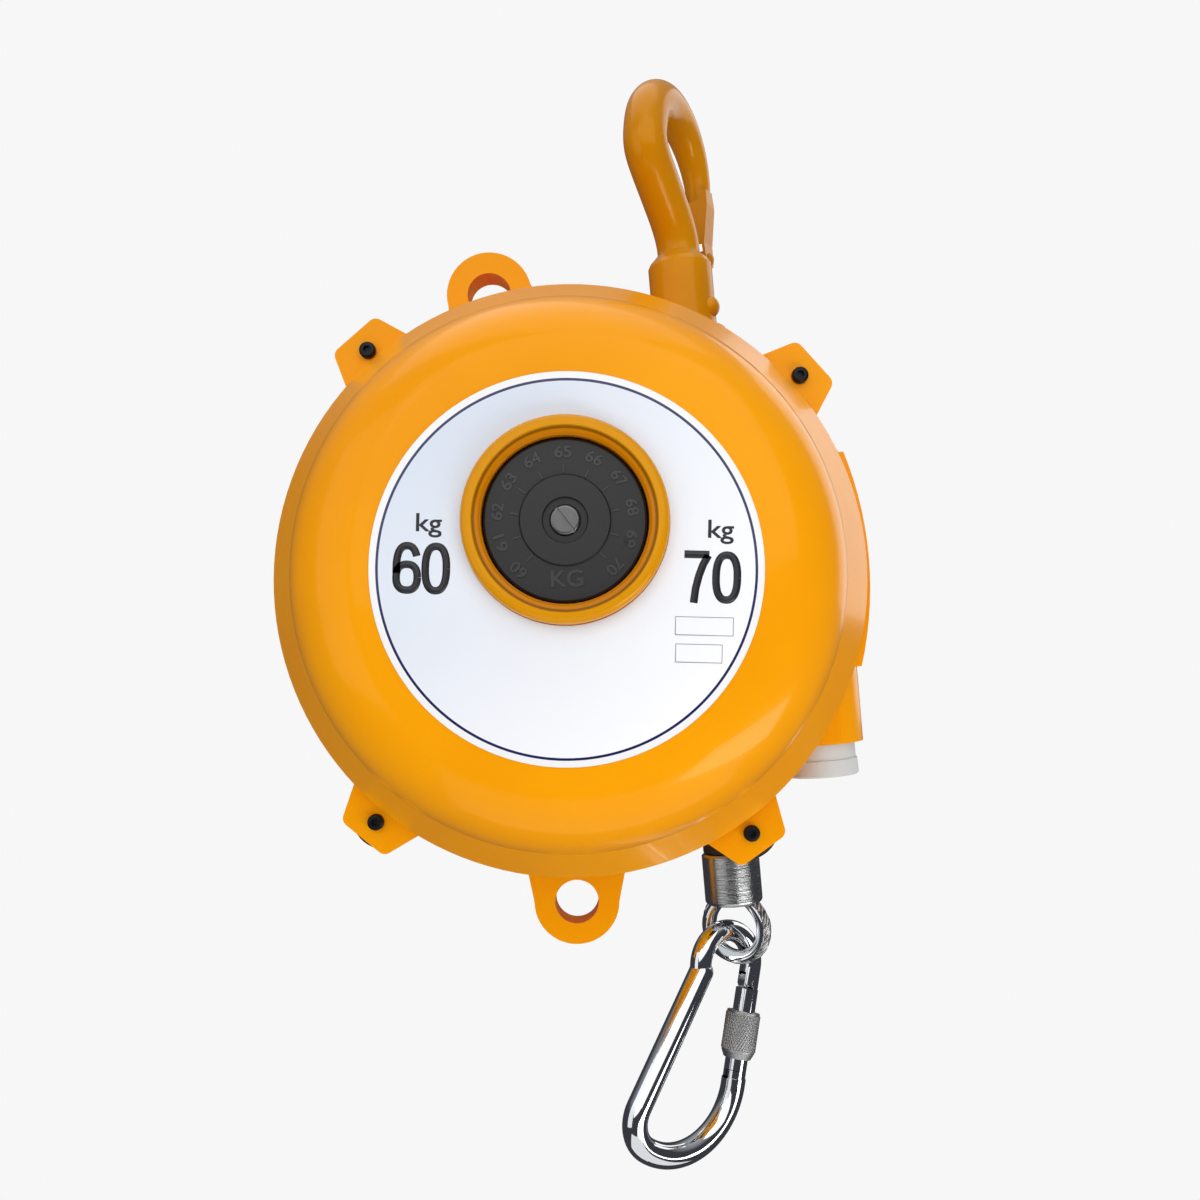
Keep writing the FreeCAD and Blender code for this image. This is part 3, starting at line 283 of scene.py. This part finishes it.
class Recipe(Tree):
    """A Geometry Nodes tree with named sizes."""

    kinds = {float: "NodeSocketFloat", int: "NodeSocketInt", bpy.types.Material: "NodeSocketMaterial"}

    def __init__(self, name, **sizes):
        super().__init__(bpy.data.node_groups.new(name, "GeometryNodeTree"))
        face = self.tree.interface
        face.new_socket("Geometry", in_out="INPUT", socket_type="NodeSocketGeometry")
        for size, value in sizes.items():
            kind = bpy.types.Material if isinstance(value, bpy.types.Material) else type(value)
            socket = face.new_socket(size, in_out="INPUT", socket_type=self.kinds[kind])
            socket.default_value = value
        face.new_socket("Geometry", in_out="OUTPUT", socket_type="NodeSocketGeometry")
        self.inlet = self.add("NodeGroupInput")

    def size(self, name):
        return self.inlet.part(name)

    def end(self, geometry):
        """Closes the tree with Realize Instances and Set Material."""
        solid = self.add("GeometryNodeRealizeInstances", inputs={0: geometry})
        dressed = self.add("GeometryNodeSetMaterial", inputs={0: solid, "Material": self.size("material")})
        out = self.tree.nodes.new("NodeGroupOutput")
        self.join(dressed, out.inputs[0])


def plain_piece(name, source, place=None):
    """The evaluated shape of an object as a plain mesh piece at the origin."""
    graph = bpy.context.evaluated_depsgraph_get()
    mesh = bpy.data.meshes.new_from_object(source.evaluated_get(graph))
    mesh.transform(place or Matrix.Identity(4))
    piece = bpy.data.objects.new(name, mesh)
    bpy.context.scene.collection.objects.link(piece)
    data = source.data
    bpy.data.objects.remove(source)
    if isinstance(data, bpy.types.Curve):
        bpy.data.curves.remove(data)
    return piece


def grown(name, recipe, place=None, source=None, **sizes):
    """A piece that a recipe makes, with some of its sizes changed."""
    holder = source or bpy.data.objects.new(name + "_holder", bpy.data.meshes.new(name + "_seed"))
    if source is None:
        bpy.context.scene.collection.objects.link(holder)
    modifier = holder.modifiers.new("recipe", "NODES")
    modifier.node_group = recipe.tree
    for item in recipe.tree.interface.items_tree:
        if item.in_out == "INPUT" and item.name in sizes:
            modifier[item.identifier] = sizes[item.name]
    bpy.context.view_layer.update()
    return plain_piece(name, holder, place)


def face_on(x, z, y, turn=0.0):
    """Puts a flat drawing on a plane that faces the front, turned about its middle."""
    right = Vector((math.cos(turn), 0, math.sin(turn)))
    up = Vector((-math.sin(turn), 0, math.cos(turn)))
    matrix = Matrix((right, up, (0, -1, 0))).transposed().to_4x4()
    matrix.translation = (x, y, z)
    return matrix


# Finishes

def gloss_paint(name, colour, shade, peel=0.12, ring=False):
    """Gloss enamel over a casting: slight orange peel, deeper colour in broad patches."""
    finish = Finish(name)
    patches = finish.noise(14.0, 3.0)
    fine = finish.noise(260.0, 2.0)
    ground = finish.blend(finish.ramp(patches, (0.35, (0, 0, 0)), (0.7, (1, 1, 1))), colour, shade)
    # The ring option paints shade on the rim round the dial's window.
    if ring:
        ground = window_ring(finish, ground)
    finish.paint(Base_Color=ground, Roughness=patches * 0.10 + 0.2, Specular_IOR_Level=0.3,
                 Specular_Tint=(1.0, 0.6, 0.12), Coat_Weight=0.18, Coat_Roughness=0.06,
                 Normal=finish.bump(fine, peel, 0.0004))
    return finish.material


def window_ring(finish, ground):
    """Painted shade on the rim of the dial's window: the rounded rim and its inner wall darker, and a dark line of
    painted shade in its groove.
    """
    reach, across, up = finish.round_about(drum_middle)
    proud = finish.depth() < ring_back
    rim = (reach > window_radius) * (reach < ring_outer_radius) * proud
    # Painted shade: the rounded rim darker.
    ground = finish.blend(rim * 0.85, ground, (0.62, 0.26, 0.003))
    # Painted shade: the inner wall darker.
    wall_shade = (reach > window_radius) * (reach < ring_groove_radius)
    ground = finish.blend(wall_shade * 0.8, ground, (0.50, 0.15, 0.001))
    # Painted shade: a dark line in the groove.
    groove = finish.band(reach, ring_groove_radius, 0.9 * mm, 0.5) * proud
    return finish.blend(groove * 0.8, ground, (0.16, 0.06, 0.002))


def bright_metal(name, colour, roughness, grain=0.0, streaks=900.0, axis=(1, 1, 0.02), cut=0.12):
    """Steel with a fine lay of tool marks along one direction."""
    finish = Finish(name, Metallic=1.0)
    lay = finish.add("ShaderNodeMapping", inputs={"Vector": finish.place, "Scale": axis})
    marks = finish.noise(streaks, 3.0, 0.6, lay)
    cloud = finish.noise(35.0, 2.0)
    dark = tuple(0.72 * part for part in colour)
    finish.paint(Base_Color=finish.blend(cloud * 0.6, colour, dark), Roughness=marks * grain + roughness,
                 Normal=finish.bump(marks, cut if grain else 0.03, 0.0002))
    return finish.material


def plain_plastic(name, colour, roughness=0.4, bump=0.08):
    """Moulded plastic or rubber with a soft, fine grain."""
    finish = Finish(name)
    grain = finish.noise(700.0, 3.0)
    cloud = finish.noise(30.0, 2.0)
    worn = tuple(min(1.0, 1.12 * part + 0.004) for part in colour)
    finish.paint(Base_Color=finish.blend(cloud, colour, worn), Roughness=cloud * 0.12 + roughness,
                 Normal=finish.bump(grain, bump, 0.0003))
    return finish.material


def plate_print():
    """White enamelled plate with a thin dark blue line round its edge, and a painted sheen: paler towards the
    lower right, bluish grey towards the upper left.
    """
    finish = Finish("plate_enamel")
    reach, across, up = finish.round_about(plate_middle)
    line = finish.band(reach, plate_line_radius, plate_line_width)
    inside = reach < plate_line_radius
    cloud = finish.noise(22.0, 2.0)
    # Painted sheen: the plate's colour goes from bluish grey at the upper left to white at the lower right.
    sheen_slope = (across * 0.6 - up * 0.8) / (2 * plate_radius) + 0.5
    white = finish.blend(sheen_slope + cloud * 0.1, (0.62, 0.69, 0.80), (0.93, 0.93, 0.94))
    ground = finish.blend(inside, (0.86, 0.86, 0.86), white)
    finish.paint(Base_Color=finish.blend(line, ground, (0.012, 0.012, 0.09)), Roughness=cloud * 0.08 + 0.2,
                 Coat_Weight=0.4, Coat_Roughness=0.08)
    return finish.material


def wire_metal():
    """Drawn rope wire: bright, with oil and dirt between the strands."""
    finish = Finish("rope_wire", Metallic=1.0)
    cloud = finish.noise(260.0, 3.0)
    finish.paint(Base_Color=finish.ramp(cloud, (0.3, (0.10, 0.10, 0.10)), (0.65, (0.62, 0.62, 0.61))),
                 Roughness=cloud * 0.2 + 0.22, Normal=finish.bump(finish.noise(2600.0, 2.0), 0.3, 0.0002))
    return finish.material


finishes = {
    "casing_paint": gloss_paint("casing_enamel", (0.90, 0.345, 0.002), (0.84, 0.305, 0.001)),
    "hook_paint": gloss_paint("hook_enamel", (0.63, 0.245, 0.002), (0.53, 0.195, 0.001), 0.2),
    "plate_white": plate_print(),
    "black_screw": bright_metal("blackened_steel", (0.03, 0.03, 0.032), 0.35, 0.2),
    "black_rubber": plain_plastic("black_rubber", (0.012, 0.012, 0.012), 0.55),
    "bright_steel": bright_metal("turned_steel", (0.56, 0.57, 0.56), 0.14, 0.18, 2600.0,
                                 axis=(0.02, 0.02, 1), cut=0.55),
    "chrome_steel": bright_metal("chrome_plate", (0.80, 0.82, 0.84), 0.06),
    "bronze": bright_metal("bearing_bronze", (0.62, 0.36, 0.12), 0.3, 0.2),
    "white_cap": plain_plastic("cap_plastic", (0.55, 0.56, 0.55), 0.42),
    "drum_alloy": bright_metal("cast_alloy", (0.62, 0.62, 0.61), 0.45, 0.25),
    "case_iron": bright_metal("machined_iron", (0.20, 0.20, 0.21), 0.4, 0.25),
    "spring_steel": bright_metal("tempered_steel", (0.12, 0.14, 0.2), 0.3, 0.2),
    "rope_wire": wire_metal(),
    "dial_black": plain_plastic("dial_plastic", (0.013, 0.013, 0.014), 0.38, 0.05),
    "sleeve_grey": bright_metal("knurled_alloy", (0.46, 0.46, 0.46), 0.38, 0.2),
}
number_black = plain_plastic("dial_numbers", (0.030, 0.030, 0.032), 0.26, 0.03)
print_black = plain_plastic("plate_ink", (0.012, 0.012, 0.016), 0.3, 0.02)
print_grey = plain_plastic("plate_rule", (0.22, 0.22, 0.25), 0.3, 0.02)


own_finishes = {
    # The cover's enamel carries painted shade on the rim round the dial's window.
    "front_cover": gloss_paint("cover_enamel", (0.90, 0.345, 0.002), (0.84, 0.305, 0.001), ring=True),
    "dial_screw": bright_metal("dial_screw_steel", (0.20, 0.20, 0.20), 0.24, 0.25),
}


def dress_solids():
    """Gives each solid its own finish, or that of its material slot."""
    for entry in frame["record"]["subparts"]:
        solid = nodes[entry["node"]]
        solid.data.materials.clear()
        solid.data.materials.append(own_finishes.get(entry["node"]) or finishes[entry["material_slot"]])


# Lettering

def lettering(name, words, width, height, place, depth, material, body, weight=0.0):
    """Words as a thin solid, fitted to a width and a height."""
    curve = bpy.data.curves.new(name + "_letters", "FONT")
    curve.body = words
    curve.extrude = 0.5
    curve.offset = weight
    curve.resolution_u = 6
    holder = bpy.data.objects.new(name + "_holder", curve)
    bpy.context.scene.collection.objects.link(holder)
    bpy.context.view_layer.update()
    piece = plain_piece(name, holder)
    corners = [vertex.co for vertex in piece.data.vertices]
    low = Vector([min(corner[i] for corner in corners) for i in range(3)])
    high = Vector([max(corner[i] for corner in corners) for i in range(3)])
    middle = (low + high) / 2
    size = high - low
    fit = Matrix.Diagonal(((width or height * size.x / size.y) / size.x, height / size.y, depth / size.z, 1))
    piece.data.transform(place @ fit @ Matrix.Translation(-middle))
    piece.data.materials.clear()
    piece.data.materials.append(material)
    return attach(piece, body)


def plate_point(u, v):
    """A place on the plate, from its middle, along its own askew axes."""
    turn = Matrix.Rotation(plate_turn, 2)
    across, up = turn @ Vector((u, v))
    return plate_middle.x + across * mm, plate_middle.z + up * mm


def bow(reach_x, reach_y, middle_y, first, last):
    """Part of a rounded, straight-sided loop, as points."""
    points = []
    for step in range(33):
        angle = math.radians(first + (last - first) * step / 32)
        across, up = math.cos(angle), math.sin(angle)
        points.append((reach_x * math.copysign(abs(across) ** 0.82, across),
                       middle_y + reach_y * math.copysign(abs(up) ** 0.82, up), 0))
    return points


def figure_strokes(figure):
    """Middle lines of a printed figure that is one high, without the width of its stroke."""
    if figure == "0":
        return [bow(0.205, 0.43, 0.0, 0, 360)]
    if figure == "6":
        return [bow(0.205, 0.25, -0.18, 0, 360), bow(0.205, 0.43, 0.0, 190, 28)]
    return [[(-0.26, 0.43, 0), (0.22, 0.43, 0)],
            [(0.2, 0.42, 0), (0.105, 0.24, 0), (0.03, 0.03, 0), (-0.03, -0.22, 0), (-0.062, -0.5, 0)]]


def print_recipe():
    """A flat printed line along the path that the tree is given."""
    recipe = Recipe("printed_line", line=0.0003, depth=2 * print_lift, material=print_black)
    section = recipe.add("GeometryNodeCurvePrimitiveQuadrilateral",
                         inputs={"Width": recipe.size("line"), "Height": recipe.size("depth")})
    recipe.end(recipe.add("GeometryNodeCurveToMesh",
                          inputs={0: recipe.inlet, "Profile Curve": section, "Fill Caps": True}))
    return recipe


def print_plate():
    """The two loads with their units, and two boxes left blank."""
    recipe = print_recipe()
    for index, (words, u, v, height) in enumerate(load_marks):
        place = face_on(*plate_point(u, v), plate_face, plate_turn)
        strokes = []
        for side, figure in zip((-figure_shift, figure_shift), words):
            shift = Matrix.Diagonal((height * mm, height * mm, 1, 1)) @ Matrix.Translation((side, 0, 0))
            strokes += [[shift @ Vector(point) for point in stroke] for stroke in figure_strokes(figure)]
        mark = grown(f"load_mark_{index + 1}", recipe, place, poly_line(f"load_line_{index + 1}", *strokes),
                     line=figure_stroke * height * mm)
        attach(mark, "casing")
    for index, (u, v, width, height) in enumerate(unit_marks):
        place = face_on(*plate_point(u, v), plate_face, plate_turn)
        lettering(f"unit_mark_{index + 1}", "kg", width * mm, height * mm, place, 2 * print_lift, print_black,
                  "casing", 0.012)
    for index, (u, v, width, height) in enumerate(blank_boxes):
        place = face_on(*plate_point(u, v), plate_face, plate_turn)
        corners = [(x * width * mm / 2, y * height * mm / 2, 0) for x, y in box_corners]
        line = poly_line(f"box_line_{index + 1}", corners + corners[:1])
        box = grown(f"blank_box_{index + 1}", recipe, place, line, line=box_line_width, material=print_grey)
        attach(box, "casing")


def number_dial():
    """Raised numbers round the dial, with their tops outwards."""
    for index, number in enumerate(range(scale_first, scale_last + 1)):
        angle = scale_start + index * scale_step + dial_turn
        x = dial_middle.x + number_radius * math.cos(angle)
        z = dial_middle.z + number_radius * math.sin(angle)
        lettering(f"dial_number_{number}", str(number), number_width, number_height,
                  face_on(x, z, dial_face, angle - math.pi / 2), 2 * number_lift, number_black, "case", 0.02)
    low = math.radians(270) + dial_turn
    place = face_on(dial_middle.x + unit_radius * math.cos(low), dial_middle.z + unit_radius * math.sin(low),
                    dial_face, dial_turn)
    lettering("dial_unit", "KG", unit_width, unit_height, place, 2 * number_lift, number_black, "case", 0.02)


def tick_recipe():
    """Short bars in a fan about the middle."""
    recipe = Recipe("dial_ticks", count=11, inner=tick_inner, length=tick_length, width=tick_width,
                    depth=number_lift, first=scale_start, step=scale_step, material=number_black)
    sides = dict(enumerate((recipe.size("length"), recipe.size("width"), recipe.size("depth"))))
    bar = recipe.add("ShaderNodeCombineXYZ", inputs=sides)
    bar = recipe.add("GeometryNodeMeshCube", inputs={"Size": bar})
    middle = recipe.size("inner") + recipe.size("length") / 2
    out = recipe.add("ShaderNodeCombineXYZ", inputs={0: middle})
    bar = recipe.add("GeometryNodeTransform", inputs={0: bar, "Translation": out})
    points = recipe.add("GeometryNodePoints", inputs={"Count": recipe.size("count")})
    index = recipe.add("GeometryNodeInputIndex")
    angle = recipe.size("first") + index * recipe.size("step")
    turn = recipe.add("ShaderNodeCombineXYZ", inputs={2: angle})
    recipe.end(recipe.add("GeometryNodeInstanceOnPoints",
                          inputs={0: points, "Instance": bar, "Rotation": turn}))
    return recipe


def tick_dial():
    """A tick at each number."""
    place = face_on(dial_middle.x, dial_middle.z, dial_face - number_lift / 2, dial_turn)
    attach(grown("dial_ticks", tick_recipe(), place), "case")


# Rope

def rope_recipe():
    """Strands laid round the path that the tree is given."""
    recipe = Recipe("laid_rope", strands=rope_strands, lay=rope_lay, radius=rope_radius,
                    material=finishes["rope_wire"])
    path = recipe.add("GeometryNodeResampleCurve", {"mode": "LENGTH"}, {0: recipe.inlet, "Length": rope_step})
    copies = recipe.add("GeometryNodeDuplicateElements", {"domain": "SPLINE"},
                        {0: path, "Amount": recipe.size("strands")})
    along = recipe.add("GeometryNodeSplineParameter", output="Length")
    share = copies.part("Duplicate Index") / recipe.size("strands")
    turn = (along / recipe.size("lay") + share) * (2 * math.pi)
    normal = recipe.add("GeometryNodeInputNormal")
    tangent = recipe.add("GeometryNodeInputTangent")
    side = recipe.add("ShaderNodeVectorMath", {"operation": "CROSS_PRODUCT"}, {0: tangent, 1: normal})
    reach = recipe.size("radius") * (2 / 3)
    first = recipe.add("ShaderNodeVectorMath", {"operation": "SCALE"},
                       {0: normal, "Scale": turn.maths("COSINE") * reach})
    second = recipe.add("ShaderNodeVectorMath", {"operation": "SCALE"},
                        {0: side, "Scale": turn.maths("SINE") * reach})
    offset = recipe.add("ShaderNodeVectorMath", {"operation": "ADD"}, {0: first, 1: second})
    laid = recipe.add("GeometryNodeSetPosition", inputs={0: copies, "Offset": offset})
    section = recipe.add("GeometryNodeCurvePrimitiveCircle",
                         inputs={"Resolution": 8, "Radius": recipe.size("radius") / 3})
    wire = recipe.add("GeometryNodeCurveToMesh",
                      inputs={0: laid, "Profile Curve": section, "Fill Caps": True})
    recipe.end(recipe.add("GeometryNodeSetShadeSmooth", inputs={0: wire}))
    return recipe


def eye_points():
    """Middle line of the rope's eye round the thimble, between its two legs in the ferrule."""
    side = eye_radius * math.cos(eye_leg_angle)
    shoulder = eye_middle + eye_radius * math.sin(eye_leg_angle)
    top = side - (eye_leg_top - shoulder) * math.tan(eye_leg_angle)
    steps = 40
    outline = [(-top, eye_leg_top)]
    for index in range(steps + 1):
        angle = math.pi - eye_leg_angle + index / steps * (math.pi + 2 * eye_leg_angle)
        outline.append((eye_radius * math.cos(angle), eye_middle + eye_radius * math.sin(angle)))
    outline.append((top, eye_leg_top))
    return [Vector((u * math.cos(eye_turn), u * math.sin(eye_turn), w)) for u, w in outline]


def poly_line(name, *runs):
    """A curve of straight runs through each list of points."""
    curve = bpy.data.curves.new(name, "CURVE")
    curve.dimensions = "3D"
    for points in runs:
        spline = curve.splines.new("POLY")
        spline.points.add(len(points) - 1)
        for point, place in zip(spline.points, points):
            point.co = (*place, 1)
    line = bpy.data.objects.new(name, curve)
    bpy.context.scene.collection.objects.link(line)
    return line


def lay_rope():
    """The rope's eye, and the straight rope that comes off the drum as its end goes down."""
    recipe = rope_recipe()
    eye = grown("rope_eye_strands", recipe, source=poly_line("eye_line", eye_points()))
    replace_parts(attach(eye, "rope_end"), "rope_eye")
    low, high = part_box("rope_run")
    middle = (low + high) / 2
    top = (middle.x, middle.y, high.z)
    bottom = (middle.x, middle.y, low.z)
    run = grown("rope_run_strands", recipe, source=poly_line("run_line", (top, bottom)))
    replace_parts(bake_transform(run), "rope_run")


# Locking sleeve

def knurl_recipe():
    """Crossed spiral ridges on a cylinder."""
    recipe = Recipe("knurl", count=knurl_count, radius=sleeve_radius, length=knurl_length, ridge=knurl_size,
                    turns=knurl_turns, material=finishes["sleeve_grey"])
    points = recipe.add("GeometryNodePoints", inputs={"Count": recipe.size("count")})
    angle = recipe.add("GeometryNodeInputIndex") / recipe.size("count") * (2 * math.pi)
    turn = recipe.add("ShaderNodeCombineXYZ", inputs={2: angle})
    section = recipe.add("GeometryNodeCurvePrimitiveCircle",
                         inputs={"Resolution": 3, "Radius": recipe.size("ridge")})
    hands = recipe.add("GeometryNodeJoinGeometry")
    for reverse in (False, True):
        spiral = recipe.add("GeometryNodeCurveSpiral", inputs={
            "Resolution": 44, "Rotations": recipe.size("turns"), "Start Radius": recipe.size("radius"),
            "End Radius": recipe.size("radius"), "Height": recipe.size("length"), "Reverse": reverse})
        ridge = recipe.add("GeometryNodeCurveToMesh",
                           inputs={0: spiral, "Profile Curve": section, "Fill Caps": True})
        ring = recipe.add("GeometryNodeInstanceOnPoints",
                          inputs={0: points, "Instance": ridge, "Rotation": turn})
        recipe.join(ring, hands.socket.node.inputs[0])
    recipe.end(hands)
    return recipe


def knurl_sleeve():
    """Lays the ridges round the sleeve, along the gate."""
    down = Vector(joints["sleeve_slide"]["axis"]).normalized()
    pivot = Vector(joints["gate_hinge"]["pos_m"])
    place = down.to_track_quat("Z", "Y").to_matrix().to_4x4()
    place.translation = pivot + down * (gate_pivot_back + knurl_start)
    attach(grown("sleeve_knurl", knurl_recipe(), place), "sleeve")


# Stage, lights and camera

def make_floor():
    """Wide pale floor under the carabiner's lowest reach, which throws no light on the object."""
    height = cad_bounds[0].z - rope_travel - floor_clearance
    vertices = [(x * floor_reach, y * floor_reach, height) for x, y in box_corners]
    mesh = bpy.data.meshes.new("floor")
    mesh.from_pydata(vertices, [], [(0, 1, 2, 3)])
    mesh.materials.append(Finish("floor_paper", Base_Color=(0.0, 0.0, 0.0), Roughness=1.0,
                                 Specular_IOR_Level=0.0, Emission_Color=pale, Emission_Strength=1.0).material)
    floor = bpy.data.objects.new("floor", mesh)
    floor.visible_diffuse = False
    floor.visible_glossy = False
    floor.visible_shadow = False
    bpy.context.scene.collection.objects.link(floor)


def soft_light(name, place, target, size, power):
    """A rectangular lamp that the camera doesn't see."""
    lamp = bpy.data.lights.new(name, "AREA")
    lamp.shape = "RECTANGLE"
    lamp.size, lamp.size_y = size
    lamp.energy = power
    light = bpy.data.objects.new(name, lamp)
    light.location = place
    light.visible_camera = False
    light.rotation_euler = (Vector(target) - Vector(place)).to_track_quat("-Z", "Y").to_euler()
    bpy.context.scene.collection.objects.link(light)


def studio_world():
    """Even light, with a darker, graded room for the gloss to reflect."""
    world = bpy.data.worlds.new("studio")
    world.use_nodes = True
    tree = Tree(world.node_tree)
    heading = tree.add("ShaderNodeTexCoord", output="Generated")
    height = tree.add("ShaderNodeSeparateXYZ", inputs={0: heading}, output="Z")
    room = tree.add("ShaderNodeValToRGB", {"stops": ((0.0, (0.05, 0.05, 0.06)), (0.35, (0.05, 0.055, 0.06)),
                                                     (1.0, (0.5, 0.52, 0.55)))}, {0: height})
    rays = tree.add("ShaderNodeLightPath", output="Is Glossy Ray")
    seen = tree.add("ShaderNodeMix", {"data_type": "RGBA"}, {0: rays, 6: (0.36, 0.36, 0.37, 1), 7: room}, 2)
    seen = tree.add("ShaderNodeMix", {"data_type": "RGBA"}, {0: rays.part("Is Camera Ray"), 6: seen,
                                                             7: (*pale, 1)}, 2)
    tree.join(seen, world.node_tree.nodes["Background"].inputs[0])
    bpy.context.scene.world = world
    bpy.context.scene.view_settings.view_transform = "Standard"


def light_studio():
    """Large soft lamps all round, and a small one for the glint on the rounded front."""
    middle = (-0.06, -0.05, -0.22)
    soft_light("key", (0.15, -1.3, 0.5), middle, (2.0, 1.4), 12)
    soft_light("fill", (-1.2, -1.0, 0.1), middle, (1.2, 1.6), 6)
    soft_light("top", (-0.1, -0.1, 1.1), middle, (1.6, 1.2), 6)
    soft_light("rim", (0.9, 0.7, 0.2), middle, (0.8, 1.2), 4)
    soft_light("bounce", (0.0, -0.55, -1.15), middle, (1.6, 1.0), 4.5)
    soft_light("glint", (0.32, -0.38, -0.62), (0.03, -0.1, -0.3), (0.46, 0.16), 1.1)


def place_camera():
    """The camera that fits the round outlines in the photograph."""
    camera = bpy.data.cameras.new("photograph")
    camera.lens = camera_lens
    camera.sensor_width = 36
    camera.shift_y = centre_below_middle / photograph_size
    eye = bpy.data.objects.new("photograph", camera)
    right = Vector((math.cos(camera_roll), 0, -math.sin(camera_roll)))
    up = Vector((math.sin(camera_roll), 0, math.cos(camera_roll)))
    matrix = Matrix((right, up, (0, -1, 0))).transposed().to_4x4()
    matrix.translation = camera_place
    eye.matrix_world = matrix
    bpy.context.scene.collection.objects.link(eye)
    bpy.context.scene.camera = eye


dress_solids()
print_plate()
number_dial()
tick_dial()
lay_rope()
knurl_sleeve()
make_floor()
studio_world()
light_studio()
place_camera()
